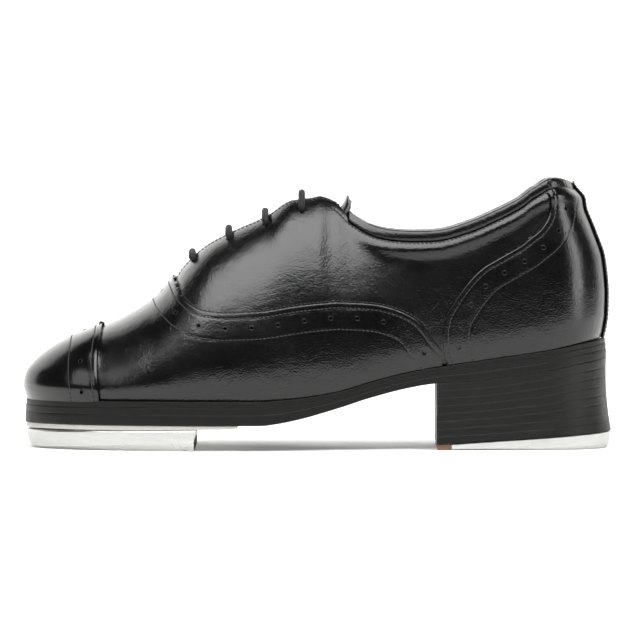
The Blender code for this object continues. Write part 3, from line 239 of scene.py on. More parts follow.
# levels of the layers, counted outward from the vamp's outer face
CAP_LEVEL, STRIP_LEVEL, QUARTER_LEVEL, CAD_QUARTER_LEVEL = 1.7, 1.2, -1.7, -2.0
LINING_FRONT, LINING_HEEL = -4.0, -5.9


def share(x):
    """Place along the shoe, from 0 at the back to 1 at the toe."""
    return np.asarray(x) / LENGTH + 0.5


def station(u):
    return (np.asarray(u) - 0.5) * LENGTH


HEEL_X, TOE_X, BREAST_X = (float(station(u)) for u in (HEEL_POLE, TOE_POLE, BREAST))
HEEL_REACH, TOE_REACH = HEEL_X - float(station(0)), float(station(1)) - TOE_X
every = np.linspace(0, 1, 101)
PLAN_MIDDLE = (max(centre_curve(every) + width_curve(every)) - max(width_curve(every) - centre_curve(every))) / 2


def centre_y(x):
    return centre_curve(share(x)) - PLAN_MIDDLE


def half_width(x):
    return width_curve(share(x))


def sole_top(x):
    """Height of the top of the sole edge."""
    return SOLE_TOP + HEEL_RISE * rise_curve(share(x)) + SEAT_RISE * seat_curve(share(x))


def fan(x):
    """Sine and cosine of the angle round the heel or the toe; 0 and 1 between them."""
    sine = np.clip(np.maximum((HEEL_X - x) / HEEL_REACH, (x - TOE_X) / TOE_REACH), 0, 1)
    return sine, np.sqrt(1 - sine ** 2)

# %% [markdown]
# ## Points on the upper
# The upper is one closed skin over the last. Each point has a station along the shoe and a share of
# the height there, and every leather piece lies on this skin at its own level.

# %% Points, normals and the inverse
def section(x, rise):
    """Half-width of the upper at a station, at a share of its height."""
    mouth = mouth_curve(share(x))
    widest = half_width(x) - 0.4
    crown = np.maximum(1 - rise ** 2.1, 0.0) ** (1 / roundness_curve(share(x)))
    swell = 1 - 0.045 * np.maximum(1 - rise / 0.22, 0) ** 2
    return (mouth + (widest - mouth) * crown) * swell


def upper(side, x, q):
    """Points of the outer leather: q is 0 at the sole and 1 at the topline or the ridge."""
    side, x, q = np.broadcast_arrays(np.asarray(side, float), np.asarray(x, float), np.asarray(q, float))
    rise = np.sin(q * math.pi / 2)
    sine, cosine = fan(x)
    heel, toe = x < HEEL_X, x > TOE_X
    base = np.clip(x, HEEL_X, TOE_X)
    z = sole_top(x) + SPACE + top_curve(share(np.minimum(x, TOE_X))) * rise
    heel_reach = HEEL_REACH - CAP_LEVEL - back_curve(rise)
    toe_reach = (TOE_REACH - CAP_LEVEL) * (1 - toe_curve(rise) / TOE_SET_BACK)
    px = np.where(heel, HEEL_X - heel_reach * sine, np.where(toe, TOE_X + toe_reach * sine, x))
    width = section(base, rise) * np.where(toe, half_width(px) / TOE, 1.0)
    middle = np.where(toe, centre_y(px), centre_y(x))
    return np.stack([px, middle + side * width * cosine, z], -1)


def unit(vectors):
    return vectors / np.maximum(np.linalg.norm(vectors, axis=-1, keepdims=True), 1e-9)


def outward(side, x, q):
    """Unit normals of the outer leather."""
    side, x, q = np.broadcast_arrays(np.asarray(side, float), np.asarray(x, float), np.asarray(q, float))
    q = np.where(share(x) < 0.51, np.minimum(q, 0.95), q)
    x0 = np.maximum(x - 0.4, station(0) + 0.02)
    x1 = np.minimum(x + 0.4, station(1) - 0.02)
    q1 = np.minimum(q + 0.004, np.where(x > TOE_X - 0.4, 0.985, 1.0))
    q0 = np.minimum(np.maximum(q - 0.004, 0.0), q1 - 0.004)
    along = upper(side, x1, q) - upper(side, x0, q)
    along = np.where(np.linalg.norm(along, axis=-1, keepdims=True) < 1e-6, np.array([1.0, 0, -0.36]), along)
    up = upper(side, x, q1) - upper(side, x, q0)
    normal = unit(np.cross(along, up) * -side[..., None])
    middle = ((q > 0.9999) & (share(x) > 0.51)) | (np.abs(x - station(0)) < 1e-6) | (np.abs(x - station(1)) < 1e-6)
    flat = unit(normal * np.array([1.0, 0, 1.0]))
    normal = np.where(middle[..., None], flat, normal)
    pole = (q > 0.9999) & (x >= TOE_X - 1e-6)
    return np.where(pole[..., None], np.array([0.34, 0, 0.94]), normal)


def skin(side, x, q, level):
    """Points at a level outside (+) or inside (-) the outer leather."""
    return upper(side, x, q) + outward(side, x, q) * np.asarray(level, float)[..., None]


def level_at_height(x, height):
    """Level q at which the surface stands a height above the sole edge."""
    total = top_curve(share(np.minimum(x, TOE_X)))
    return np.arcsin(np.clip(height / total, 0, 1)) * 2 / math.pi


def find(px, pz):
    """Station and level of a point given by its place in the side view."""
    x = np.array(px, float)
    for _ in range(8):
        total = top_curve(share(np.minimum(x, TOE_X)))
        rise = np.clip((pz - sole_top(x) - SPACE) / total, 0, 1)
        heel_reach = HEEL_REACH - CAP_LEVEL - back_curve(rise)
        toe_reach = np.maximum((TOE_REACH - CAP_LEVEL) * (1 - toe_curve(rise) / TOE_SET_BACK), 1e-3)
        heel_x = HEEL_X - HEEL_REACH * np.clip((HEEL_X - px) / heel_reach, 0, 1)
        toe_x = TOE_X + TOE_REACH * np.clip((px - TOE_X) / toe_reach, 0, 1)
        x = np.where(px < HEEL_X, heel_x, np.where(px > TOE_X, toe_x, px))
    return x, np.arcsin(rise) * 2 / math.pi


def level_at_half_width(x, gap):
    """Level q at which the closed part of the upper comes within a gap of the middle line."""
    x, gap = np.broadcast_arrays(np.asarray(x, float), np.asarray(gap, float))
    low, high = np.full(x.shape, 0.5), np.ones(x.shape)
    for _ in range(30):
        middle = (low + high) / 2
        wide = section(x, np.sin(middle * math.pi / 2)) > gap
        low, high = np.where(wide, middle, low), np.where(wide, high, middle)
    return np.where(section(x, 1.0) >= gap, 1.0, low)


facing_gap = curve([(0.50, 6.5), (0.74, 5.0)])


def facing_level(x):
    """Topline behind, facing edge in front."""
    return np.where(share(x) > 0.44, level_at_half_width(x, facing_gap(share(x))), 1.0)


def foot_level(x):
    return level_at_height(x, 0.02)


def wing_level(x):
    return np.where(share(x) >= THROAT, 1.0, level_at_height(x, wing_curve(share(x))))


print("toe tip at", np.round(upper(1, station(1), 0.2), 1), "mm")

# %% [markdown]
# ## The shop's tools: pieces, leather sheets, stitches and punched holes
# A leather piece is a sheet of even thickness, so it is a fine grid on the surface, given its thickness
# by Solidify. Its rim is rounded off by letting the grid's outermost rows fall. Under a row of stitches
# the thread pulls the leather down, so the grid dips there too.

# %% Making a piece
REPLACED = set()


def piece(name, points, faces, finish, nodes=(), body=BODY, sharp=42, merge=0.0):
    """A mesh piece from points in millimetres, riding on its body."""
    mesh = bpy.data.meshes.new(name)
    mesh.from_pydata((np.asarray(points, float) * MM).tolist(), [], [tuple(int(i) for i in f) for f in faces])
    if merge:
        bm = bmesh.new()
        bm.from_mesh(mesh)
        bmesh.ops.remove_doubles(bm, verts=bm.verts, dist=merge * MM)
        bmesh.ops.dissolve_degenerate(bm, dist=1e-7, edges=bm.edges)
        bmesh.ops.recalc_face_normals(bm, faces=bm.faces)
        bm.to_mesh(mesh)
        bm.free()
    mesh.shade_smooth()
    mesh.set_sharp_from_angle(angle=math.radians(sharp))
    mesh.materials.append(finish)
    made = bpy.data.objects.new(name, mesh)
    bpy.context.scene.collection.objects.link(made)
    if nodes:
        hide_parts(*nodes)
        REPLACED.update(nodes)
    if body:
        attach(made, body)
    return made


def grid(rows, columns, first=0, closed=False):
    """Faces of a grid of points; closed joins the last column to the first."""
    last = columns if closed else columns - 1
    r, c = np.meshgrid(np.arange(rows - 1), np.arange(last), indexing="ij")
    a, b = first + r * columns + c, first + r * columns + (c + 1) % columns
    return np.stack([a, b, b + columns, a + columns], -1).reshape(-1, 4)


def steps(length, spacing):
    """Shares from 0 to 1 at an even spacing, with extra ones at both ends for a rounded rim."""
    rim = np.array([0.0, 0.06, 0.2, 0.4])
    inner = np.linspace(0.7, length - 0.7, max(3, round(length / spacing)))
    return np.concatenate([rim, inner, length - rim[::-1]]) / length


def rim_drop(distance, radius=0.5):
    """How far a rounded rim has fallen at a distance from the edge."""
    return 0.6 * radius * (np.clip(radius - distance, 0, radius) / radius) ** 2


def near(points, line):
    """Distance from each point to a line of points."""
    tree = kdtree.KDTree(len(line))
    for i, p in enumerate(line):
        tree.insert(p, i)
    tree.balance()
    flat = points.reshape(-1, 3)
    return np.array([tree.find(p)[2] for p in flat]).reshape(points.shape[:-1])


def dips(points, lines, depth, width):
    """How far the leather is pulled down near the lines."""
    down = np.zeros(points.shape[:-1])
    for line in lines:
        down = np.maximum(down, depth * np.exp(-(near(points, line) / width) ** 2))
    return down


def leather(name, patches, thickness, finish, nodes=(), cutters=(), body=BODY):
    """A sheet made of grids of outer points, thickened inward, with holes punched through it."""
    points, faces, first = [], [], 0
    for patch in patches:
        rows, columns = patch.shape[:2]
        points.append(patch.reshape(-1, 3))
        faces.append(grid(rows, columns, first))
        first += rows * columns
    made = piece(name, np.concatenate(points), np.concatenate(faces), finish, nodes, body, merge=0.02)
    mesh = made.data
    middle = sum((v.co for v in mesh.vertices), Vector()) / len(mesh.vertices)
    votes = sum(1 if f.normal.dot(f.center - middle) > 0 else -1 for f in mesh.polygons)
    if votes < 0:
        mesh.flip_normals()
    solid = made.modifiers.new("thickness", "SOLIDIFY")
    solid.thickness = thickness * MM
    solid.offset = -1
    if len(cutters):
        cutter = punches(name + "_punch", cutters)
        hole = made.modifiers.new("punched", "BOOLEAN")
        hole.object = cutter
        hole.operation = "DIFFERENCE"
        hole.solver = "MANIFOLD"
        bpy.context.view_layer.update()
        evaluated = made.evaluated_get(bpy.context.evaluated_depsgraph_get())
        final = bpy.data.meshes.new_from_object(evaluated)
        made.modifiers.clear()
        made.data = final
        bpy.data.objects.remove(cutter)
        final.set_sharp_from_angle(angle=math.radians(42))
    print(f"{name}: {len(made.data.polygons)} faces")
    return made


def punches(name, places, depth=6.0, segments=20):
    """One mesh of rods, each (centre, axis, radius), to cut holes with."""
    bm = bmesh.new()
    for centre, axis, radius in places:
        turn = Vector((0, 0, 1)).rotation_difference(Vector(axis)).to_matrix().to_4x4()
        bmesh.ops.create_cone(bm, cap_ends=True, segments=segments, radius1=radius * MM,
                              radius2=radius * MM, depth=depth * MM,
                              matrix=Matrix.Translation(Vector(centre) * MM) @ turn)
    mesh = bpy.data.meshes.new(name)
    bm.to_mesh(mesh)
    bm.free()
    made = bpy.data.objects.new(name, mesh)
    bpy.context.scene.collection.objects.link(made)
    return made

# %% [markdown]
# ## Pattern lines
# A pattern cutter draws the wings, cap and counter edges on the flat side view. Stitch rows and punched
# holes then follow those edges at even distances.

# %% Lines on the leather, laid out in the side view
def along(points, spacing, start=0.0, stop=None):
    """Positions read at an even spacing along a line of points."""
    gaps = np.linalg.norm(np.diff(points, axis=0), axis=1)
    run = np.concatenate([[0], np.cumsum(gaps)])
    end = run[-1] if stop is None else stop
    count = max(2, int(round((end - start) / spacing)) + 1)
    at = np.linspace(start, end, count)
    return np.stack([np.interp(at, run, points[:, k]) for k in range(points.shape[1])], -1)


def moved_in(edge, distance):
    """A side-view line moved across itself by a distance, to its left when walked along."""
    way = unit(np.gradient(edge, axis=0))
    return edge + np.stack([-way[:, 1], way[:, 0]], -1) * np.asarray(distance, float)[..., None]


def on_leather(side, line, level=0.0):
    """Points and normals on the leather for a side-view line."""
    x, q = find(line[:, 0], line[:, 1])
    normal = outward(side, x, q)
    return upper(side, x, q) + normal * level, normal


STITCH_PITCH = 2.05          # mm from one stitch to the next
STITCH_LENGTH = 1.55
THREAD_RADIUS = 0.25


def stitches(name, rows, finish, body=BODY):
    """Rows of short raised stitches, whose ends dive into the leather; rows are (points, normals)."""
    bend = np.array([-0.5, -0.46, -0.3, 0.0, 0.3, 0.46, 0.5])
    lift = np.array([-0.30, -0.10, 0.06, 0.13, 0.06, -0.10, -0.30])
    fat = np.array([0.35, 0.85, 1.0, 1.05, 1.0, 0.85, 0.35])
    ring = np.arange(6) * math.pi / 3
    points, faces, first = [], [], 0
    for line, normals in rows:
        both = along(np.hstack([line, normals]), STITCH_PITCH)
        if len(both) < 3:
            continue
        p, n = both[:, :3], unit(both[:, 3:])
        way = unit(np.gradient(p, axis=0))
        across = unit(np.cross(way, n))
        lean = way + across * 0.10
        centre = (p[:, None] + lean[:, None] * (bend * STITCH_LENGTH)[None, :, None]
                  + n[:, None] * lift[None, :, None])
        radius = (THREAD_RADIUS * fat)[None, :, None, None]
        shell = (centre[:, :, None] + radius * (across[:, None, None] * np.cos(ring)[None, None, :, None]
                 + n[:, None, None] * np.sin(ring)[None, None, :, None]))
        count = len(bend) * len(ring)
        for k in range(len(p)):
            faces.append(grid(len(bend), len(ring), first + k * count, closed=True))
            faces_end = [first + k * count + np.arange(6)[::-1], first + (k + 1) * count - 6 + np.arange(6)]
            faces.extend([np.array([f]) for f in faces_end])
        points.append(shell.reshape(-1, 3))
        first += len(p) * count
    flat_faces = [tuple(f) for block in faces for f in block]
    made = piece(name, np.concatenate(points), flat_faces, finish, body=body, sharp=60)
    print(f"{name}: {first // (7 * 6)} stitches")
    return made


HOLE_RADIUS = 0.95


def hole_rims(name, places, finish):
    """The leather pushed up round each punched hole; places are (centre, normal, radius)."""
    around, tube = np.arange(20) * math.pi / 10, np.arange(8) * math.pi / 4
    points, faces = [], []
    for k, (centre, normal, radius) in enumerate(places):
        n = unit(np.asarray(normal, float))
        a = unit(np.cross(n, [0.0, 0.3, 1.0]))
        b = np.cross(n, a)
        spoke = a * np.cos(around)[:, None] + b * np.sin(around)[:, None]
        ring = centre + spoke * (radius + 0.10)
        points.append((ring[:, None] + 0.17 * (spoke[:, None] * np.cos(tube)[None, :, None]
                       + n * np.sin(tube)[None, :, None] * 0.75)).reshape(-1, 3))
        whole = grid(21, 8, 0, closed=True)
        faces.append(np.where(whole >= 160, whole - 160, whole) + k * 160)
    made = piece(name, np.concatenate(points), np.concatenate(faces), finish, sharp=80)
    print(f"{name}: {len(places)} holes")
    return made


# %% [markdown]
# ## Finishes
# Polished calf is a full-grain leather, dyed through and finished with a thin clear resin: a dark base
# with a soft gloss, under a harder coat. Its grain is a net of fine cells half a millimetre across, and
# where the foot flexes it gathers into small creases.

# %% Black polished calf
GRAIN = 0.75 * MM            # real grain is 0.3 to 0.5 mm; drawn this coarse so that it shows
CREASE = 5.5 * MM


def polished_calf(name, base, lighter, gloss, grain_depth, crease_depth):
    made, tree, shader, place = start_material(name, ior=1.42, coat_weight=0.5, coat_roughness=gloss * 0.7)
    cells = add(tree, "ShaderNodeTexVoronoi", {"Vector": place, "Scale": 1 / GRAIN}, feature="SMOOTH_F1")
    cloud = add(tree, "ShaderNodeTexNoise", {"Vector": place, "Scale": 1 / (18 * MM), "Detail": 5.0})
    fine = add(tree, "ShaderNodeTexNoise", {"Vector": place, "Scale": 1 / (0.35 * MM), "Detail": 3.0})
    folds = add(tree, "ShaderNodeTexNoise", {"Vector": place, "Scale": 1 / CREASE, "Detail": 6.0,
                                             "Roughness": 0.62, "Distortion": 0.6})
    colour = add(tree, "ShaderNodeMix", {"Factor": cloud.outputs["Fac"], "A": linear(base), "B": linear(lighter)},
                 data_type="RGBA")
    rough = add(tree, "ShaderNodeMapRange", {"Value": cloud.outputs["Fac"], "From Min": 0.3, "From Max": 0.7,
                                             "To Min": gloss, "To Max": gloss + 0.09})
    deep = add(tree, "ShaderNodeBump", {"Height": folds.outputs["Fac"], "Strength": 1.0,
                                        "Distance": crease_depth * MM})
    net = add(tree, "ShaderNodeBump", {"Height": cells.outputs["Distance"], "Strength": 1.0,
                                       "Distance": grain_depth * MM, "Normal": deep.outputs[0]})
    dust = add(tree, "ShaderNodeBump", {"Height": fine.outputs["Fac"], "Strength": 0.6,
                                        "Distance": grain_depth * 0.4 * MM, "Normal": net.outputs[0]})
    tree.links.new(colour.outputs[2], shader.inputs["Base Color"])
    tree.links.new(rough.outputs[0], shader.inputs["Roughness"])
    tree.links.new(dust.outputs[0], shader.inputs["Normal"])
    tree.links.new(net.outputs[0], shader.inputs["Coat Normal"])
    return made


# the cap is burnished smoother than the rest; the quarters show more grain and creases
calf_cap = polished_calf("burnished_calf", "#050506", "#0a0a0b", 0.16, 0.035, 0.05)
calf = polished_calf("polished_calf", "#060607", "#0c0c0d", 0.19, 0.07, 0.16)
calf_soft = polished_calf("soft_calf", "#060607", "#0d0d0e", 0.21, 0.08, 0.2)

# %% [markdown]
# ## Thread and edges
# Fine fittings have their own finish, apart from the calf: twisted thread, inked edges and bare fibre.

# %% Waxed thread, binding tape and edge ink
# Waxed polyester thread is twisted from three plies, so each stitch carries slanted ridges and a dull gleam. The thread
# is black, but its base colour is a grey lighter than the leather: a painted highlight, so that each stitch shows as a
# glinting dash.
thread, tree, shader, place = start_material("black_thread_painted_glint", base_color=linear("#2c2c2e"), roughness=0.34, ior=1.5)
plies = add(tree, "ShaderNodeTexWave", {"Vector": place, "Scale": 1 / (1.6 * MM), "Distortion": 1.5},
            bands_direction="DIAGONAL")
tree.links.new(add(tree, "ShaderNodeBump", {"Height": plies.outputs["Fac"], "Distance": 0.05 * MM}).outputs[0],
               shader.inputs["Normal"])


def ruled(name, base, lighter, rough, line, depth, streak=(6, 6, 0.5), **sockets):
    """Burnished edges and worked surfaces, with fine lines along the shoe."""
    made, tree, shader, place = start_material(name, **sockets)
    flat = add(tree, "ShaderNodeMapping", {"Vector": place, "Scale": tuple(1 / (s * MM) for s in streak)})
    lines = add(tree, "ShaderNodeTexNoise", {"Vector": flat.outputs[0], "Scale": line, "Detail": 6.0,
                                             "Roughness": 0.65})
    cloud = add(tree, "ShaderNodeTexNoise", {"Vector": place, "Scale": 1 / (9 * MM), "Detail": 4.0})
    colour = add(tree, "ShaderNodeMix", {"Factor": lines.outputs["Fac"], "A": linear(base), "B": linear(lighter)},
                 data_type="RGBA")
    gloss = add(tree, "ShaderNodeMapRange", {"Value": cloud.outputs["Fac"], "From Min": 0.3, "From Max": 0.7,
                                             "To Min": rough, "To Max": rough + 0.12})
    bump = add(tree, "ShaderNodeBump", {"Height": lines.outputs["Fac"], "Distance": depth * MM})
    tree.links.new(colour.outputs[2], shader.inputs["Base Color"])
    tree.links.new(gloss.outputs[0], shader.inputs["Roughness"])
    tree.links.new(bump.outputs[0], shader.inputs["Normal"])
    return made


# Sole edges are trimmed, inked black and ironed with wax: dark, with the cut fibres as faint long lines.
inked_edge = ruled("inked_sole_edge", "#070606", "#100f0e", 0.42, 1.0, 0.10, ior=1.38)
inked_heel = ruled("inked_heel_stack", "#080707", "#131211", 0.4, 1.0, 0.12, ior=1.4)
# The top piece's underside is bare oak-bark leather, pale brown and fibrous.
bare_leather = ruled("bare_sole_leather", "#6b4a33", "#9a7656", 0.7, 1.0, 0.12, streak=(3, 3, 3), ior=1.45)
# The tap board is pale vulcanised fibre: hard, matt, slightly mottled.
vulcan_fibre = ruled("vulcanised_fibre", "#b9b7b1", "#d2d0ca", 0.5, 1.0, 0.04, streak=(4, 4, 4), ior=1.5)
# Insole and stiffener board is pressed leather and paper fibre.
fibre_board = ruled("pressed_fibre_board", "#7a6247", "#947a5b", 0.85, 1.0, 0.08, streak=(2, 2, 2), ior=1.45)
granulated_cork = ruled("granulated_cork", "#7d5a36", "#b58a58", 0.9, 1.0, 0.3, streak=(2.5, 2.5, 2.5), ior=1.45)
# Lining leather is vegetable tanned, undyed on the inside of the grain, with a matt brushed face.
lining_leather = ruled("grey_lining_leather", "#56524d", "#6b6762", 0.7, 1.0, 0.10, streak=(1.2, 1.2, 1.2), ior=1.45)
sock_leather = ruled("sock_leather", "#2b2a2a", "#3a3938", 0.55, 1.0, 0.08, streak=(1.0, 1.0, 1.0), ior=1.45)

# %% [markdown]
# ## Metals and hard parts
# The taps are bright castings, the screws plated steel, and the lace tips clear film over cotton.

# %% Cast aluminium, steel, enamel and plastic
# The taps are cast aluminium, tumbled bright: a pale metal with soft reflections and fine scuffs.
cast_aluminium = ruled("tumbled_cast_aluminium", "#bdbdbb", "#d8d8d6", 0.26, 1.0, 0.015, streak=(9, 9, 1.2),
                       metallic=1.0)
# Wood screws are drawn steel with thin zinc plating, a little yellow-grey.
zinc_steel = ruled("zinc_plated_steel", "#8b8b88", "#a5a5a2", 0.26, 1.0, 0.02, streak=(2, 2, 0.6), metallic=1.0)
# Blind eyelets are brass, enamelled black.
black_enamel = ruled("black_enamel", "#0d0d0d", "#161616", 0.2, 1.0, 0.01, streak=(2, 2, 2), ior=1.5)
# Lace tips are celluloid film, rolled and glued: hard and shiny.
celluloid = ruled("black_celluloid", "#060606", "#0d0d0d", 0.16, 1.0, 0.02, streak=(0.5, 6, 6), ior=1.5)
# The lace is braided from mercerised cotton and waxed: a soft black with a faint sheen on each strand.
waxed_cotton = ruled("waxed_cotton_braid", "#070708", "#131314", 0.62, 1.0, 0.10, streak=(0.35, 0.35, 0.35),
                     ior=1.5, sheen_weight=0.06, sheen_roughness=0.4)

# %% [markdown]
# ## The upper's leather pieces
# An oxford upper is built in layers: the quarters lie lowest, the vamp with its two long wings is sewn over
# them, and the toe cap, heel cover and back strip are sewn over all. Each piece keeps its own level above the
# last, so that its cut edge casts the thin shadow which tells the eye that this is leather on leather.

# %% Edge lines in the side view
def outline(x, q):
    """Side-view line through points of the surface."""
    return upper(1, x, q)[:, [0, 2]]


def on_surface(line):
    """The part of a side-view line that lies on the upper."""
    x, q = find(line[:, 0], line[:, 1])
    gap = np.linalg.norm(outline(x, q) - line, axis=1)
    return line[gap < 0.08]


def run_on(line, length):
    """A line carried straight on past its end."""
    way = unit(line[-1] - line[-4])
    return np.vstack([line, line[-1] + way * np.linspace(0.3, length, int(length / 0.3))[:, None]])


def cover_x(rise, t=0.0):
    """Station of the heel cover, from its front edge (0) to the back (1)."""
    front = (HEEL_X - station(cover_edge(rise))) / HEEL_REACH
    start = np.where(front < 0, front, np.arcsin(np.clip(front, 0, 1)))
    angle = start + (math.pi / 2 - start) * t
    return HEEL_X - HEEL_REACH * np.where(angle < 0, angle, np.sin(angle))


def cap_x(q, t=0.0):
    """Station of the toe cap, from its rear edge (0) to the tip (1); the edge bows forward a little."""
    start = np.arcsin(1.8 * np.sin(math.pi * q) / TOE_REACH)
    return TOE_X + TOE_REACH * np.sin(start + (math.pi / 2 - start) * t)


wing_x = np.concatenate([np.linspace(station(0.270), station(0.70), 260),
                         station(THROAT) - 0.03 - 12.5 * np.linspace(1, 0, 90) ** 2])
wing_edge = along(outline(wing_x, wing_level(wing_x)), 0.4)
cover_rise = np.linspace(0.0, 0.956, 200)
cover_line = along(outline(cover_x(cover_rise), np.arcsin(cover_rise) * 2 / math.pi), 0.4)
cap_q = np.linspace(0.02, 0.985, 160)
cap_line = along(outline(cap_x(cap_q), cap_q), 0.4)
facing_x = np.linspace(station(0.46), station(0.742), 200)
print("edges:", [len(line) for line in (wing_edge, cover_line, cap_line)], "points")


def seam(edge, distance, extend=0.0):
    """A row at a distance inside a piece's edge."""
    line = moved_in(edge, distance)
    return on_surface(run_on(line, extend) if extend else line)


# distances of the rows and holes from the edges, mm
WING_ROWS, WING_HOLES = (-2.7, -13.0), -7.4
CAP_ROWS, CAP_HOLES = (-2.4, -13.2), -7.6
COVER_ROWS, COVER_HOLES = (2.4, 12.2), 7.2
wing_rows = [seam(wing_edge, d, 22) for d in WING_ROWS]
cap_rows = [seam(cap_line, d) for d in CAP_ROWS]
cover_rows = [seam(cover_line, d) for d in COVER_ROWS]
quarter_row = seam(wing_edge[25:], 0.9)
hole_lines = [(along(seam(wing_edge, WING_HOLES, 14), 13.0, start=9.0), 0.0),
              (along(seam(cap_line, CAP_HOLES), 11.8, start=4.0), CAP_LEVEL),
              (along(seam(cover_line, COVER_HOLES), 11.3, start=7.0), 0.0)]


def both(line, level):
    """The same row on both sides of the shoe, as (points, normals) pairs."""
    return [on_leather(side, line, level) for side in (1, -1)]


wing_threads = [pair for row in wing_rows for pair in both(row, 0.0)]
cap_threads = [pair for row in cap_rows for pair in both(row, CAP_LEVEL)]
cover_threads = [pair for row in cover_rows for pair in both(row, 0.0)]
holes = [[(p, n, HOLE_RADIUS) for side in (1, -1) for p, n in zip(*on_leather(side, line, level))]
         for line, level in hole_lines]

# %% [markdown]
# ## Softness
# Leather on a last is not perfectly smooth: it swells over the padded collar and creases lightly.
# Both are added as small changes of level.

# %% Shape added to the bare last
def soft(x, q):
    """The padded roll under the collar, as extra level."""
    drop = top_curve(share(x)) * (1 - np.sin(q * math.pi / 2))
    fade = np.clip((0.445 - share(x)) / 0.06, 0, 1)
    return 1.5 * np.exp(-((drop - 7.5) / 3.6) ** 2) * fade


def wrinkles(points, size, depth):
    """Shallow uneven folds."""
    flat = points.reshape(-1, 3) / size
    return np.array([noise.fractal(p, 0.9, 2.1, 3) for p in flat]).reshape(points.shape[:-1]) * depth


def patch(side, x, q, level, threads=(), borders=(), fold=(0.0, 1.0), radius=0.5):
    """A grid of outer points: the level, less the rounded rim, less the pull of the stitches."""
    x, q = np.broadcast_arrays(x, q)
    bare = upper(side, x, q)
    extra = soft(x, q)
    if fold[0]:
        extra = extra + wrinkles(bare, fold[1], fold[0])
    where = skin(side, x, q, level)
    for border in borders:
        extra = extra - rim_drop(near(where, along(border, 0.2)), radius)
    extra = extra - dips(where, [points for points, _ in threads], 0.13, 0.5)
    return skin(side, x, q, level + extra)


def level_grid(low, high, spacing=0.85):
    """Levels from low to high for each station, close together at the rims."""
    parts = steps(46.0, spacing)
    return low[:, None] + (high - low)[:, None] * parts[None, :]

# %% [markdown]
# ## Leather pieces
# Cap, vamp, quarters, counter cover and back strip are cut from thin calf and overlap like roof tiles.
# Each is a sheet on the last with a rolled rim, raised by the thickness of what lies under it.

# %% Toe cap, vamp, quarters, heel cover and back strip
THICK = 1.4
cap_t = np.concatenate([[0, 0.004, 0.012], np.linspace(0.025, 1, 58)])
cap_levels = np.linspace(foot_level(np.array(TOE_X)), 1.0, 66)
patches = []
for side in (1, -1):
    x = cap_x(cap_levels[None, :], cap_t[:, None])
    border = skin(side, cap_x(cap_levels), cap_levels, CAP_LEVEL)
    points = patch(side, x, cap_levels[None, :], CAP_LEVEL, cap_threads, [border], radius=0.6)
    points[:, -1] = points[:, -2]
    points[:, -1, 1] = float(centre_y(TOE_X))
    patches.append(points)
leather("toe_cap_leather", patches, CAP_LEVEL, calf_cap, ["toe_cap"], holes[1])

vamp_x = np.concatenate([np.linspace(station(0.2863) + 0.6, station(0.70), 130),
                         station(THROAT) - 12.5 * np.linspace(1, 0, 40) ** 2,
                         np.linspace(station(THROAT) + 0.5, TOE_X + 9, 46)])
patches = []
for side in (1, -1):
    x = vamp_x[:, None]
    q = level_grid(foot_level(vamp_x), wing_level(vamp_x))
    line = skin(side, wing_x, wing_level(wing_x), 0.0)
    patches.append(patch(side, x, q, 0.0, wing_threads, [line], fold=(0.05, 8.0)))
leather("vamp_leather", patches, THICK, calf, ["vamp"], holes[0])

heel_angles = np.linspace(math.asin(0.9995), 0, 62)
quarter_x = np.concatenate([HEEL_X - HEEL_REACH * np.sin(heel_angles),
                            np.arange(HEEL_X + 0.9, station(0.42), 0.9),
                            np.arange(station(0.42), station(0.49), 0.6),
                            np.arange(station(0.49), station(THROAT) + 3, 0.9)])
eyelet_x = station(0.711 + (0.525 - 0.711) * np.arange(4) / 3)
eyelet_q = level_at_half_width(eyelet_x, facing_gap(share(eyelet_x)) + 9.0)
quarter_threads = {}
for side, word in ((1, "lateral"), (-1, "medial")):
    x = quarter_x[:, None]
    height = np.maximum(wing_curve(share(quarter_x)) - 12.0, 0.7)
    low = level_at_height(quarter_x, np.where(share(quarter_x) < 0.27, 0.05, height))
    q = level_grid(low, facing_level(quarter_x))
    edge_x = np.concatenate([quarter_x, facing_x])
    border = skin(side, np.sort(edge_x), facing_level(np.sort(edge_x)), QUARTER_LEVEL)
    by_wing = on_leather(side, quarter_row, QUARTER_LEVEL)
    inner = level_at_half_width(facing_x, facing_gap(share(facing_x)) + 2.6)
    by_facing = (skin(side, facing_x, inner, QUARTER_LEVEL), outward(side, facing_x, inner))
    collar_x = quarter_x[(share(quarter_x) < 0.47)]
    collar_q = level_at_height(collar_x, top_curve(share(collar_x)) - 4.4)
    by_collar = (skin(side, collar_x, collar_q, QUARTER_LEVEL + soft(collar_x, collar_q)),
                 outward(side, collar_x, collar_q))
    quarter_threads[word] = [by_wing, by_facing, by_collar]
    rods = [(p, n, 2.3) for p, n in zip(skin(side, eyelet_x, eyelet_q, QUARTER_LEVEL),
                                        outward(side, eyelet_x, eyelet_q))]
    grid_points = patch(side, x, q, QUARTER_LEVEL, quarter_threads[word], [border], fold=(0.07, 11.0))
    leather(f"quarter_leather_{word}", [grid_points], THICK, calf_soft,
            [f"quarter_{word}"], rods)

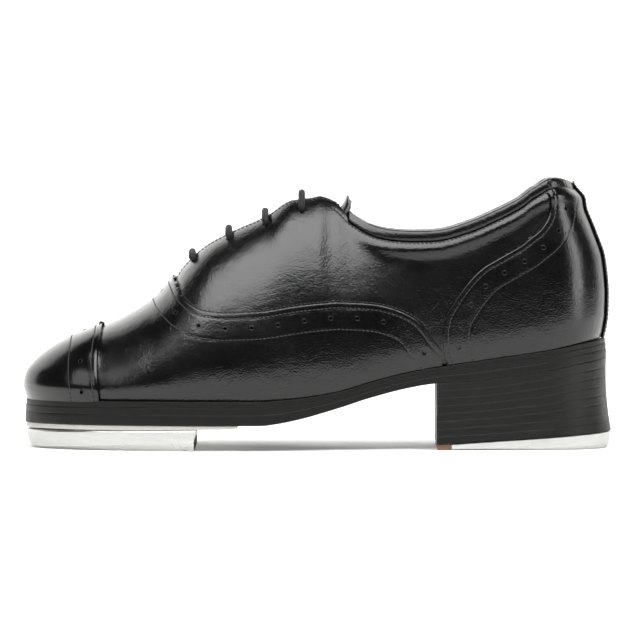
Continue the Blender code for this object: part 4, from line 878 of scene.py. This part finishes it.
lengths = np.concatenate([[0], np.cumsum(np.linalg.norm(np.diff(outline(cover_x(cover_rise),
                          np.arcsin(cover_rise) * 2 / math.pi), axis=0), axis=1))])
rises = np.interp(steps(lengths[-1], 0.85) * lengths[-1], lengths, cover_rise)
rises = np.maximum(rises, 0.001)
cover_t = np.concatenate([[0, 0.002, 0.006, 0.012], np.linspace(0.02, 1, 84)])
cover_q = np.arcsin(rises) * 2 / math.pi
patches = []
for side in (1, -1):
    x = cover_x(rises[None, :], cover_t[:, None])
    front = skin(side, cover_x(cover_rise), np.arcsin(cover_rise) * 2 / math.pi, 0.0)
    top_x = cover_x(np.array(0.956), np.linspace(0, 1, 60))
    over = skin(side, top_x, np.full(60, math.asin(0.956) * 2 / math.pi), 0.0)
    patches.append(patch(side, x, cover_q[None, :], 0.0, cover_threads, [front, over], fold=(0.04, 9.0)))
leather("heel_cover_leather", patches, THICK, calf, ["heel_counter_cover"], holes[2])

strip_angle = np.concatenate([math.pi / 2 - math.radians(13) * (1 - np.array([0, 0.02, 0.06, 0.12])),
                              math.pi / 2 - math.radians(13) * np.linspace(0.82, 0, 16)])
strip_x = HEEL_X - HEEL_REACH * np.sin(strip_angle)
strip_levels = np.linspace(0.0, 1.0, 90)
strip_edge_x = np.full(90, strip_x[0])
strip_row_x = np.full(88, HEEL_X - HEEL_REACH * math.sin(math.pi / 2 - math.radians(13) * 0.83))
strip_threads = [(skin(side, strip_row_x, strip_levels[1:-1], STRIP_LEVEL + soft(strip_row_x, strip_levels[1:-1])),
                  outward(side, strip_row_x, strip_levels[1:-1])) for side in (1, -1)]
patches = [patch(side, strip_x[:, None], strip_levels[None, :], STRIP_LEVEL, strip_threads,
                 [skin(side, strip_edge_x, strip_levels, STRIP_LEVEL)]) for side in (1, -1)]
leather("back_strip_leather", patches, STRIP_LEVEL, calf, ["back_strip"])

# %% [markdown]
# ## Stitches
# Each stitch is a short thread that dips into the leather at both ends. Punched holes have a slight rim.

# %% Stitches and hole rims
stitches("vamp_stitches", wing_threads, thread)
stitches("cap_stitches", cap_threads, thread)
stitches("heel_cover_stitches", cover_threads, thread)
stitches("quarter_stitches", [pair for rows in quarter_threads.values() for pair in rows], thread)
stitches("back_strip_stitches", strip_threads, thread)
hole_rims("punched_hole_rims", [h for group in holes for h in group], calf_cap)

# %% [markdown]
# ## Collar, linings, sock and tongue
# The raw topline is closed with a strip of soft leather folded over it, so the collar ends in a round roll
# with slight gathers. Inside lie a leather lining and a sock. The tongue is leather outside with a woven
# grey cloth inside; its pointed tip stands above the laces.

# %% Collar binding
bind_x = np.concatenate([np.arange(station(0.445), HEEL_X, -0.9),
                         HEEL_X - HEEL_REACH * np.sin(np.linspace(0, math.pi / 2, 66))])
sides = np.concatenate([np.ones(len(bind_x)), -np.ones(len(bind_x) - 1)])
bind_x = np.concatenate([bind_x, bind_x[-2::-1]])
lining_level = curve([(0.30, LINING_HEEL), (0.40, LINING_FRONT - 0.5), (0.46, LINING_FRONT - 0.5),
                      (0.485, LINING_FRONT)])
BIND_THICK = 0.8
outer = CAD_QUARTER_LEVEL + 0.6 + BIND_THICK
inner = lining_level(share(bind_x)) - 0.9 - 0.6 - BIND_THICK
top_total = top_curve(share(bind_x))
legs = []
for part, drop in ((0.0, 2.9), (0.3, 2.6), (0.7, 1.8), (0.9, 0.9)):
    legs.append(skin(sides, bind_x, level_at_height(bind_x, top_total - drop), outer - 0.45 + 0.45 * part ** 0.5))
out_top = skin(sides, bind_x, 1.0, np.full(len(bind_x), outer))
in_top = skin(sides, bind_x, 1.0, inner)
rise_up = np.array([0, 0, 1.0])
arc = [(out_top + in_top) / 2 + (out_top - in_top) / 2 * math.cos(a) + rise_up * (0.3 + 1.35 * math.sin(a))
       for a in np.linspace(0.1, math.pi - 0.1, 11)]
inside = [skin(sides, bind_x, level_at_height(bind_x, top_total - drop), inner) for drop in (0.9, 1.8, 2.9)]
roll = np.stack(legs + arc + inside, 1)
run = np.arange(len(bind_x))
gathers = 0.07 * np.sin(run * 0.9 * 2 * math.pi / 3.7) * np.sin(run * 0.31)
roll[:, 2:-3] += unit(roll[:, 2:-3] - ((out_top + in_top) / 2)[:, None]) * gathers[:, None, None]
leather("collar_roll", [roll], BIND_THICK, calf_soft, ["collar_binding"])

# %% [markdown]
# ## Linings
# A lining of plain calf lies inside the quarters and vamp, a little lower than the outer leather.

# %% Linings
lining_x = quarter_x[::2]
patches = []
for side in (1, -1):
    x = np.concatenate([[station(0) + 1e-4], lining_x[1:]])
    q = level_grid(foot_level(x), facing_level(x), 1.6)
    level = lining_level(share(x))[:, None] - 0.15
    points = skin(side, x[:, None], q, level + wrinkles(upper(side, x[:, None], q), 14.0, 0.18))
    patches.append(points)
rods = [(p, n, 3.0) for side in (1, -1) for p, n in zip(skin(side, eyelet_x, eyelet_q, LINING_FRONT),
                                                        outward(side, eyelet_x, eyelet_q))]
leather("quarter_lining_leather", patches, 0.9, lining_leather, ["quarter_lining"], rods)
x = np.concatenate([np.arange(station(THROAT) - 4.5, TOE_X, 2.0),
                    TOE_X + TOE_REACH * np.sin(np.linspace(0, math.pi / 2, 22))])
patches = [skin(side, x[:, None], level_grid(foot_level(x), np.ones(len(x)), 2.0), LINING_FRONT)
           for side in (1, -1)]
leather("vamp_lining_leather", patches, 0.9, lining_leather, ["vamp_lining"])

# %% [markdown]
# ## Flat layers
# Soles, heel lifts, sock and plates are sheets cut to a plan outline, so one tool stacks rings of that
# outline at changing heights. Drilled holes are taken out of the stack.

# %% Layers with a plan outline: soles, lifts, sock, plates
SOLE_BACK_INSET, SOLE_TIP_INSET = 2.0, 1.0


def sole_edge(x):
    return edge_curve(share(x))


def sole_point(side, x, inset):
    """Plan position of the sole edge, moved in by inset."""
    sine, cosine = fan(x)
    px = np.where(x < HEEL_X, HEEL_X - (HEEL_REACH - SOLE_BACK_INSET - inset) * sine,
                  np.where(x > TOE_X, TOE_X + (TOE_REACH - SOLE_TIP_INSET - inset) * sine, x))
    return px, centre_y(px) + side * (half_width(px) - inset) * cosine


def round_heel(count):
    return HEEL_X - HEEL_REACH * np.sin(np.linspace(math.pi / 2, 0, count))


def round_toe(count):
    return TOE_X + TOE_REACH * np.sin(np.linspace(0, math.pi / 2, count)[1:])


def slab(name, xs, rings, finish, nodes, edge=sole_point, front=(), sharp=36, drills=(), hollow=False):
    """A closed plate: rings of (inset, height function) from top to bottom round the plan outline.
    edge is one outline or one for each ring; front gives, for each ring, where its straight first edge lies.
    A hollow plate is a band, closed from its last ring back to its first."""
    points = []
    edges = edge if isinstance(edge, list) else [edge] * len(rings)
    for k, (inset, height) in enumerate(rings):
        ring = []
        for side, line in ((1, xs), (-1, xs[::-1])):
            px, py = edges[k](side, line, inset)
            if len(front):
                px = np.where(np.abs(line - xs[0]) < 1e-6, front[k], px)
            ring.append(np.stack([px, py, height(px)], -1))
        points.append(np.concatenate(ring))
    n, m = 2 * len(xs), len(xs)
    faces = [tuple(f) for f in grid(len(rings), n, 0, closed=True)]
    last = (len(rings) - 1) * n
    if hollow:
        faces += [(last + i, last + (i + 1) % n, (i + 1) % n, i) for i in range(n)]
    else:
        faces += [(i, i + 1, n - 2 - i, n - 1 - i) for i in range(m - 1)]
        faces += [(last + n - 1 - i, last + n - 2 - i, last + i + 1, last + i) for i in range(m - 1)]
    made = piece(name, np.concatenate(points), faces, finish, nodes, sharp=sharp, merge=0.01)
    return drill(made, drills) if len(drills) else made


def drill(made, drills):
    """Cuts round holes, each (centre, axis, radius), right through a piece."""
    cutter = punches(made.name + "_drill", drills, depth=26.0, segments=40)
    hole = made.modifiers.new("drilled", "BOOLEAN")
    hole.object, hole.operation, hole.solver = cutter, "DIFFERENCE", "MANIFOLD"
    bpy.context.view_layer.update()
    final = bpy.data.meshes.new_from_object(made.evaluated_get(bpy.context.evaluated_depsgraph_get()))
    made.modifiers.clear()
    made.data = final
    bpy.data.objects.remove(cutter)
    final.set_sharp_from_angle(angle=math.radians(36))
    return made


def rounded(top, bottom, radius=0.45, outset=0.0, inset=0.0):
    """Rings of a layer with worn corners and a slightly full edge."""
    soft_rings = [(inset + 2.5, top), (inset + radius, top)]
    for a in (0.35, 0.8, 1.25):
        soft_rings.append((inset + radius * (1 - math.sin(a)), lambda x, a=a: top(x) - radius * (1 - math.cos(a))))
    for part in (0.25, 0.5, 0.75):
        bow = outset * 4 * part * (1 - part)
        soft_rings.append((inset - bow, lambda x, p=part: (top(x) - radius) * (1 - p) + (bottom(x) + radius) * p))
    for a in (1.25, 0.8, 0.35):
        soft_rings.append((inset + radius * (1 - math.sin(a)), lambda x, a=a: bottom(x) + radius * (1 - math.cos(a))))
    return soft_rings + [(inset + radius, bottom), (inset + 2.5, bottom)]


def sole_level(part, gap=0.0):
    return lambda x: sole_top(x) - sole_edge(x) * part + gap


# %% [markdown]
# ## The bottom
# Under the upper lie a rand, a midsole and an outsole, all trimmed to one edge, inked black and ironed
# with wax. Seven thin lifts and a top piece make the heel. Their joints stay visible as fine lines.

# %% Soles
whole = np.concatenate([round_heel(70), np.arange(HEEL_X + 1.2, TOE_X, 1.2), [TOE_X], round_toe(80)])
RAND_SHARE, MIDSOLE_SHARE = 0.24, 0.54
rand_rings = rounded(lambda x: sole_top(x) + 0.24, sole_level(RAND_SHARE, 0.02), 0.14, 0.0, 0.5)
rand_rings[0], rand_rings[-1] = (9.0, rand_rings[0][1]), (9.0, rand_rings[-1][1])
slab("rand_edge", whole, rand_rings, inked_edge, ["rand"], hollow=True)
slab("midsole_edge", whole, rounded(sole_level(RAND_SHARE, -0.02), sole_level(MIDSOLE_SHARE, 0.02), 0.12, 0.0, 0.2),
     inked_edge, ["midsole"])

tap_rear = float(station(1)) - SOLE_TIP_INSET - 84.0


def toe_tap_top(x):
    return 10.4 - 1.4 * (x - tap_rear) / 84.0


def heel_bottom(x):
    return 2.7 + 5.8 * (BREAST_X - x) / (BREAST_X - float(station(0)))


def heel_top(x):
    return sole_top(x) - sole_edge(x) - 0.1


def heel_plan(drop):
    """Outline of the heel at a share of its height down: a little waisted, then flared."""
    spread = 1.6 * (drop ** 2 - drop) + 2.4 * drop ** 2

    def edge(side, x, inset):
        back = 0.35 + 0.65 * np.clip((BREAST_X - x) / (BREAST_X - station(0)), 0, 1)
        return sole_point(side, x, inset - spread * back)

    return edge


SCREWS = {"toe_tap_screw_front": (0.935, 0.0), "toe_tap_screw_lateral": (0.765, 0.66),
          "toe_tap_screw_medial": (0.765, -0.66), "heel_tap_screw_back": (0.055, 0.0),
          "heel_tap_screw_lateral": (0.165, 0.60), "heel_tap_screw_medial": (0.165, -0.60)}
HEAD, SHANK, SCREW_LENGTH = 3.3, 1.6, 9.4
UP = (0, 0, 1)
screw_at = {}
for name, (u, across) in SCREWS.items():
    x = float(station(u))
    toe = name.startswith("toe")
    metal, seat = (toe_tap_top(x), 3.0) if toe else (heel_bottom(x) - SPACE, 1.6)
    screw_at[name] = (x, float(centre_y(x) + across * half_width(x)), metal - seat - SPACE, toe)
toe_screws = [s for s in screw_at.values() if s[3]]
heel_screws = [s for s in screw_at.values() if not s[3]]


def pilots(screws):
    return [((x, y, z + 2.0), UP, SHANK + 0.35) for x, y, z, _ in screws]


slab("outsole_edge", whole, rounded(sole_level(MIDSOLE_SHARE, -0.02), lambda x: sole_top(x) - sole_edge(x), 0.3, 0.0),
     inked_edge, ["outsole"], drills=pilots(toe_screws))

# %% [markdown]
# ## Stacked heel
# A stacked heel is pieces of leather glued one on another, trimmed and inked black together, so thin
# lines show between them.

# %% Heel lifts and top piece
heel_x = np.concatenate([round_heel(70), np.arange(HEEL_X + 1.2, BREAST_X, 1.2), [BREAST_X]])
LAYERS = 8
for i in range(LAYERS):
    upper_part, lower_part = i / LAYERS, (i + 1) / LAYERS
    seam_gap = 0.03
    top = lambda x, p=upper_part: heel_top(x) * (1 - p) + heel_bottom(x) * p
    bottom = lambda x, p=lower_part: heel_top(x) * (1 - p) + heel_bottom(x) * p + seam_gap
    lift = i < LAYERS - 1
    name = f"heel_lift_{i + 1}" if lift else "heel_top_piece"
    finish, slot = (inked_heel, "stacked_leather") if lift else (inked_heel, "top_piece_leather")
    rings = rounded(top, bottom, 0.09, 0.0)
    edges = [heel_plan(upper_part)] * 5
    edges += [heel_plan(upper_part + (lower_part - upper_part) * t) for t in (0.25, 0.5, 0.75)]
    edges += [heel_plan(lower_part)] * 5
    slab(name + "_edge", heel_x, rings, finish, [name], edge=edges,
         drills=pilots(heel_screws) if i > 4 else ())
# a wedge of bare leather fills the space in front of the tap; the solid model has no piece here
bare_x = np.linspace(BREAST_X - 6.7, BREAST_X - 0.3, 8)
slab("top_piece_wedge", bare_x, [(1.2, lambda x: heel_bottom(x) - 0.03), (0.9, lambda x: heel_bottom(x) - 0.35),
                                 (1.0, lambda x: 0.6 + 0 * x), (1.5, lambda x: 0.25 + 0 * x)],
     bare_leather, (), edge=heel_plan(1.0))

# %% [markdown]
# ## The taps
# A tap is an aluminium casting, tumbled bright, screwed through a pale fibre board. The toe tap is thick
# with a wall that leans in and a long bevel underneath; the heel tap is a wedge that makes up the heel's
# height. Three slotted screws hold each one in deep round recesses.

# %% Tap board, toe tap and heel tap
board_rear = tap_rear - 20.0
board_x = np.concatenate([np.linspace(board_rear, TOE_X, 60), round_toe(70)])
board_top = lambda x: sole_top(x) - sole_edge(x) - 0.15
board_thick = lambda x: 1.0 + np.clip((x - board_rear) / 20.0, 0, 1)
board_low = lambda x: np.maximum(toe_tap_top(np.maximum(x, tap_rear)) + 0.12, board_top(x) - 0.15 - board_thick(x))
slab("tap_board_plate", board_x, [(2.5, board_top), (0.5, board_top), (0.5, board_low), (2.5, board_low)],
     vulcan_fibre, ["toe_tap_board"], drills=pilots(toe_screws))

tap_x = np.concatenate([np.linspace(tap_rear, TOE_X, 50), round_toe(80)])
bevel = lambda x: 0.6 + 4.2 * (1 - (x - tap_rear) / 84.0)


def mix(a, b, t):
    """A ring a share of the way from ring a to ring b."""
    (ia, ha), (ib, hb) = a, b
    return (ia * (1 - t) + ib * t, lambda x: ha(x) * (1 - t) + hb(x) * t)


def softened(corners, fronts, share_of_side=0.10):
    """Rings and front edges with every corner replaced by a small round."""
    rings, places = [corners[0]], [fronts[0]]
    for k in range(1, len(corners) - 1):
        for a, b, t in ((k, k - 1, share_of_side), (k, k - 1, share_of_side * 0.35),
                        (k, k + 1, share_of_side * 0.35), (k, k + 1, share_of_side)):
            rings.append(mix(corners[a], corners[b], t))
            places.append(fronts[a] * (1 - t) + fronts[b] * t)
    return rings + [corners[-1]], places + [fronts[-1]]


floor = lambda x: 0.0 * x
tap_corners = [(1.8, toe_tap_top), (0.9, toe_tap_top), (0.2, lambda x: toe_tap_top(x) - 0.8), (2.6, bevel),
               (5.1, floor), (8.0, floor)]
rings, fronts = softened(tap_corners, [tap_rear + 1.8, tap_rear + 0.8, tap_rear, tap_rear + 1.0, tap_rear + 5.0,
                                       tap_rear + 8.0])
recess = HEAD + 0.35


def recesses(screws):
    """Counterbores for the screw heads, each down through the underside."""
    return [((x, y, z + SPACE - 13.0), UP, recess) for x, y, z, _ in screws] + pilots(screws)


slab("toe_tap_casting", tap_x, rings, cast_aluminium, ["toe_tap"], front=fronts,
     drills=recesses(toe_screws))

heel_tap_front = BREAST_X - 7.0
heel_tap_x = np.concatenate([round_heel(70), np.linspace(HEEL_X, heel_tap_front, 36)[1:]])[::-1]
tap_top = lambda x: heel_bottom(x) - 0.12
heel_bevel = lambda x: 0.5 + 0.024 * (heel_tap_front - x)
corners = [(1.6, tap_top), (0.8, tap_top), (0.2, lambda x: tap_top(x) - 0.6), (1.0, heel_bevel), (2.4, floor),
           (5.0, floor)]
rings, fronts = softened(corners, [heel_tap_front - 1.4, heel_tap_front - 0.6, heel_tap_front,
                                   heel_tap_front - 0.3, heel_tap_front - 1.4, heel_tap_front - 4.0])
slab("heel_tap_casting", heel_tap_x, rings, cast_aluminium, ["heel_tap"], edge=heel_plan(1.0),
     front=fronts, drills=recesses(heel_screws))

# %% [markdown]
# ## Screws
# Slotted wood screws are turned on a lathe, then the slot is sawn across the domed head.

# %% Screws
def lathe(name, profile, centre, axis, finish, nodes, body=BODY, around=36, sharp=40):
    """A round piece from (radius, height) pairs, turned about an axis."""
    turn = np.array(Vector((0, 0, 1)).rotation_difference(Vector(axis)).to_matrix())
    angles = np.arange(around) * 2 * math.pi / around
    points = np.array([[r * math.cos(a), r * math.sin(a), h] for r, h in profile for a in angles]) @ turn.T
    faces = [tuple(f) for f in grid(len(profile), around, closed=True)]
    return piece(name, points + np.asarray(centre, float), faces, finish, nodes, body, sharp, merge=0.01)


for name, (x, y, z, toe) in screw_at.items():
    dome = [(HEAD - 0.9 + 0.9 * math.sin(a), -1.08 - 0.72 * math.cos(a)) for a in np.linspace(math.pi / 2, 0, 6)]
    threads = [(SHANK - 0.28 * (k % 2), SCREW_LENGTH - 1.4 - 0.55 * k) for k in range(13)]
    profile = [(0, SCREW_LENGTH), (SHANK - 0.7, SCREW_LENGTH)] + threads + [(SHANK, 0), (HEAD, 0)] + dome
    profile += [(1.2, -1.86), (0, -1.9)]
    joint = name.replace("_tap_screw", "_screw")
    made = lathe(name + "_turned", profile, (x, y, z), UP, zinc_steel, [name], joint, around=40)
    bm = bmesh.new()
    bmesh.ops.create_cube(bm, size=1, matrix=Matrix.Translation(Vector((x, y, z - 1.7)) * MM)
                          @ Matrix.Diagonal((8 * MM, 1.0 * MM, 1.1 * MM, 1)))
    slot_mesh = bpy.data.meshes.new("slot_cutter")
    bm.to_mesh(slot_mesh)
    bm.free()
    cutter = bpy.data.objects.new("slot_cutter", slot_mesh)
    bpy.context.scene.collection.objects.link(cutter)
    cut = made.modifiers.new("slot", "BOOLEAN")
    cut.object, cut.operation, cut.solver = cutter, "DIFFERENCE", "MANIFOLD"
    bpy.context.view_layer.update()
    made.data = bpy.data.meshes.new_from_object(made.evaluated_get(bpy.context.evaluated_depsgraph_get()))
    made.modifiers.clear()
    bpy.data.objects.remove(cutter)
    made.data.set_sharp_from_angle(angle=math.radians(36))
print(len(screw_at), "screws")

# %% [markdown]
# ## Sock and heel pad
# A thin leather sock covers the insole, with a soft pad under it at the heel.

# %% Sock liner and heel pad
sock_low = lambda x: sole_top(x) + SPACE + 2.0 + 0.1
inner_x = np.concatenate([round_heel(40), np.arange(HEEL_X + 2.5, TOE_X, 2.5), [TOE_X], round_toe(40)])
sock_rings = [(14.0, lambda x: sock_low(x) + 1.4), (11.6, lambda x: sock_low(x) + 1.4),
              (10.9, lambda x: sock_low(x) + 1.0), (10.8, lambda x: sock_low(x) + 0.3), (11.4, sock_low),
              (14.0, sock_low)]
sock = slab("sock_leather_piece", inner_x, sock_rings, sock_leather, ["sock_liner"])
pad_low = lambda x: sock_low(x) + 1.5
pad_x = np.concatenate([round_heel(40), np.arange(HEEL_X + 2.0, station(0.25), 2.0)])
pad_rings = [(15.5, lambda x: pad_low(x) + 1.3), (13.6, lambda x: pad_low(x) + 1.1),
             (12.9, lambda x: pad_low(x) + 0.7), (12.7, lambda x: pad_low(x) + 0.3), (13.2, pad_low),
             (16.0, pad_low)]
pad = slab("heel_pad_cushion", pad_x, pad_rings, lining_leather, ["heel_pad"])

# %% [markdown]
# ## Tongue
# The tongue is a soft leather flap backed with grey woven cotton, hinged where it is sewn at the throat.

# %% Tongue and its woven lining
# Cloth: a plain weave of grey cotton, threads 0.45 mm apart in reality, drawn 0.9 mm apart so they show. The yarn is
# one grey; the hollows between the threads are drawn darker, which is painted shade.
woven, tree, shader, place = start_material("grey_woven_cotton", roughness=0.85, ior=1.45, sheen_weight=0.25,
                                            sheen_roughness=0.5)
WEAVE = 0.9 * MM
warp = add(tree, "ShaderNodeTexWave", {"Vector": place, "Scale": 1 / (WEAVE * 6.3), "Distortion": 0.8},
           bands_direction="X", wave_profile="SIN")
weft = add(tree, "ShaderNodeTexWave", {"Vector": place, "Scale": 1 / (WEAVE * 6.3), "Distortion": 0.8},
           bands_direction="Y", wave_profile="SIN")
over = add(tree, "ShaderNodeMath", {0: warp.outputs["Fac"], 1: weft.outputs["Fac"]}, operation="MAXIMUM")
# painted shade: the colour follows the weave's height, dark in the hollows and light on the crowns
tint = add(tree, "ShaderNodeMix", {"Factor": over.outputs[0], "A": linear("#4c4c4d"), "B": linear("#85858a")},
           data_type="RGBA")
tree.links.new(tint.outputs[2], shader.inputs["Base Color"])
tree.links.new(add(tree, "ShaderNodeBump", {"Height": over.outputs[0], "Distance": 0.15 * MM}).outputs[0],
               shader.inputs["Normal"])

tongue_height = curve([(0.446, 105.4), (0.458, 99.6), (0.475, 96.2), (0.50, 95.8), (0.54, 94.4), (0.591, 87.8),
                       (0.657, 79.0), (0.692, 73.2), (0.726, 63.4), (0.742, 57.2)])
tongue_width = curve([(0.446, 7.0), (0.470, 10.0), (0.50, 17.0), (0.54, 21.0), (0.60, 23.0), (0.742, 19.0)])
LACE_RADIUS = 1.7
LACE_UNDER, LACE_OVER, LACE_CHANNEL = -8.55, 0.2, 10.25
FLANGE_INSIDE = -6.25


def tongue_surface(x, across):
    height = tongue_height(share(x)) - LACE_CHANNEL
    y = across * tongue_width(share(x))
    span = half_width(x) - 11.0
    sag = height * (1 - np.sqrt(np.maximum(1 - (y / span) ** 2, 0.0)))
    return np.stack(np.broadcast_arrays(x, centre_y(x) + y, sole_top(x) + height - sag), -1)


def tongue_point(x, across, drop):
    way = tongue_surface(x + 0.5, across) - tongue_surface(x - 0.5, across)
    over = tongue_surface(x, across + 0.02) - tongue_surface(x, across - 0.02)
    return tongue_surface(x, across) - unit(np.cross(way, over)) * np.asarray(drop)[..., None]


def tongue_sheet(name, drop, thickness, margin, finish, nodes, pad):
    """One sheet of the tongue, softly padded and round at the rim."""
    start, stop = float(station(0.446)) + 0.5 + margin, float(station(0.742)) - 0.5 - margin
    x = start + (stop - start) * steps(stop - start, 1.0)
    across = (2 * steps(36.0, 1.0) - 1) * (1 - margin / 19.0)
    gx, ga = np.meshgrid(x, across, indexing="ij")
    rim = np.minimum(np.minimum(gx - start, stop - gx), (1 - margin / 19.0 - np.abs(ga)) * tongue_width(share(gx)))
    lowered = drop + rim_drop(np.maximum(rim, 0), 0.5) - pad * np.clip(rim / 6, 0, 1)
    return leather(name, [tongue_point(gx, ga, lowered)], thickness, finish, nodes, body="tongue_flap")


tongue_sheet("tongue_leather", 0.0, 1.2, 0.0, calf_soft, ["tongue"], 0.0)
tongue_back = tongue_sheet("tongue_cloth", 1.2 + 0.3, 2.0, 0.6, woven, ["tongue_lining"], 0.0)


# %% [markdown]
# ## The lace
# The lace is a round braid over a core: strands cross in two spirals, so its surface is a net of small
# slanting ridges. It runs straight across at four rows, dives through the blind eyelets, and climbs to the
# next row under the facings. Both ends are tucked down inside.

# %% The lace's route
def over_point(x, y):
    return skin(np.sign(y), x, level_at_half_width(x, abs(y)), LACE_OVER)


def under_point(x, y):
    return skin(np.sign(y), x, level_at_half_width(x, abs(y)), LACE_UNDER)


def wall_point(side, x, height):
    inside = lining_level(share(x)) - 0.9 - 3 * SPACE - LACE_RADIUS
    return skin(side, x, level_at_height(x, height), inside)


def sock_point(x, y):
    return np.array([x, y, sole_top(x) + SPACE + 2.0 + SPACE + 1.4 + SPACE + LACE_RADIUS])


def through_eyelet(side, row, neighbour):
    """Round the bend under the facing and straight out through one eyelet."""
    x, q = eyelet_x[row], eyelet_q[row]
    centre, normal = upper(side, x, q), outward(side, x, q)
    away = neighbour - centre
    away = unit(away - normal * away.dot(normal))
    bend = centre + normal * (LACE_UNDER + 0.7) + away * 0.8
    return [bend] + [centre + normal * level for level in (FLANGE_INSIDE, -1.7, 0.0)]


def bar(row, start_side):
    reach = float(facing_gap(share(eyelet_x[row]))) + 9.0 - 3.2
    return [over_point(eyelet_x[row], start_side * y) for y in (reach, reach / 3, -reach / 3, -reach)]


def diagonal(row):
    x0, x1 = eyelet_x[row], eyelet_x[row + 1]
    reach = float(facing_gap(share(x0))) + 9.0
    return [under_point(x0 + (x1 - x0) * t, -reach * y)
            for t, y in ((0.12, 0.74), (0.33, 0.34), (0.67, -0.34), (0.88, -0.74))]


route = [sock_point(x, y) for x, y in ((36.0, 22.0), (22.0, 22.5), (8.0, 23.0), (-5.0, 24.0))]
route += [wall_point(1, x, h) for x, h in ((-19.0, 13.0), (-29.0, 24.0), (-32.0, 38.0), (-27.0, 52.0),
                                           (-17.0, 63.0), (-6.0, 70.0))]
route += [under_point(x, 21.0) for x in (3.0, 20.0, 37.0, 52.0)]
down = [wall_point(-1, x, h) for x, h in ((-4.0, 76.0), (-14.0, 68.0), (-24.0, 56.0), (-29.0, 42.0),
                                          (-27.0, 27.0), (-18.0, 15.0))]
for row in range(4):
    onward = diagonal(row) if row < 3 else down
    route += through_eyelet(1, row, route[-1])
    route += bar(row, 1)
    route += through_eyelet(-1, row, onward[0])[::-1]
    route += onward
route += [sock_point(x, y) for x, y in ((-5.0, -14.5), (9.0, -16.5), (23.0, -18.0), (35.0, -19.0))]


def through(points, spacing):
    """Points along a smooth curve through the route."""
    found = [points[0]]
    for i in range(len(points) - 1):
        p0, p1, p2 = points[max(i - 1, 0)], points[i], points[i + 1]
        p3 = points[min(i + 2, len(points) - 1)]
        count = max(1, round(float(np.linalg.norm(p2 - p1)) / spacing))
        for k in range(1, count + 1):
            t = k / count
            found.append(0.5 * (2 * p1 + (p2 - p0) * t + (2 * p0 - 5 * p1 + 4 * p2 - p3) * t ** 2
                                + (3 * p1 - p0 - 3 * p2 + p3) * t ** 3))
    return np.array(found)


lace_line = along(through(route, 1.0), 0.5)

# %% [markdown]
# ## Braid
# A lace is a round braid of waxed cotton, so its skin carries strands that cross at a steady pitch.

# %% The braid
AROUND, STRANDS, BRAID = 18, 4, 5.2
ways = unit(np.gradient(lace_line, axis=0))
side_way = unit(np.cross(ways[0], [0.2, 0.1, 1.0]))
points = []
run = np.arange(len(lace_line)) * 0.5
angles = np.arange(AROUND) * 2 * math.pi / AROUND
for p, way, s in zip(lace_line, ways, run):
    side_way = unit(side_way - way * side_way.dot(way))
    other = np.cross(way, side_way)
    spiral = 2 * math.pi * s / BRAID
    ridge = np.maximum(np.abs(np.cos((STRANDS * angles + spiral) / 2)), np.abs(np.cos((STRANDS * angles - spiral) / 2)))
    radius = (LACE_RADIUS * (0.90 + 0.13 * (ridge - 0.4)))[:, None]
    points.append(p + radius * (side_way * np.cos(angles)[:, None] + other * np.sin(angles)[:, None]))
count = len(lace_line)
faces = [tuple(f) for f in grid(count, AROUND, closed=True)]
faces += [tuple(range(AROUND))[::-1], tuple((count - 1) * AROUND + i for i in range(AROUND))]
lace = piece("lace_braid", np.concatenate(points), faces, waxed_cotton, ["lace"], sharp=70)

for word, end, before in (("lateral", lace_line[0], lace_line[3]), ("medial", lace_line[-1], lace_line[-4])):
    way = unit(end - before)
    profile = [(0, 18.0), (0.9, 17.9), (1.2, 17.5), (1.3, 16.8), (1.3, 0.6), (1.5, 0.25), (1.5, 0.0), (0, 0.0)]
    lathe(f"lace_tip_{word}_film", profile, end + way * 0.1, way, celluloid,
                      [f"lace_tip_{word}"], around=24)

# %% [markdown]
# ## Hidden pieces
# The stiffeners, board, cork, shank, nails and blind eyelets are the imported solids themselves, given their
# real materials: they show only inside the mouth or in a cut.

# %% Finishes on the carried-over solids
HIDDEN = {"toe_puff": (fibre_board, "fibre_board"), "heel_stiffener": (fibre_board, "fibre_board"),
          "insole_board": (fibre_board, "fibre_board"), "cork_filler": (granulated_cork, "cork"),
          "shank": (zinc_steel, "steel")}
for name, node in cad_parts.items():
    if name in REPLACED:
        continue
    finish, slot = HIDDEN.get(name, (black_enamel, "eyelet_metal") if name.startswith("eyelet")
                              else (zinc_steel, "steel"))
    node.data.materials.clear()
    node.data.materials.append(finish)
    print("kept solid:", name)
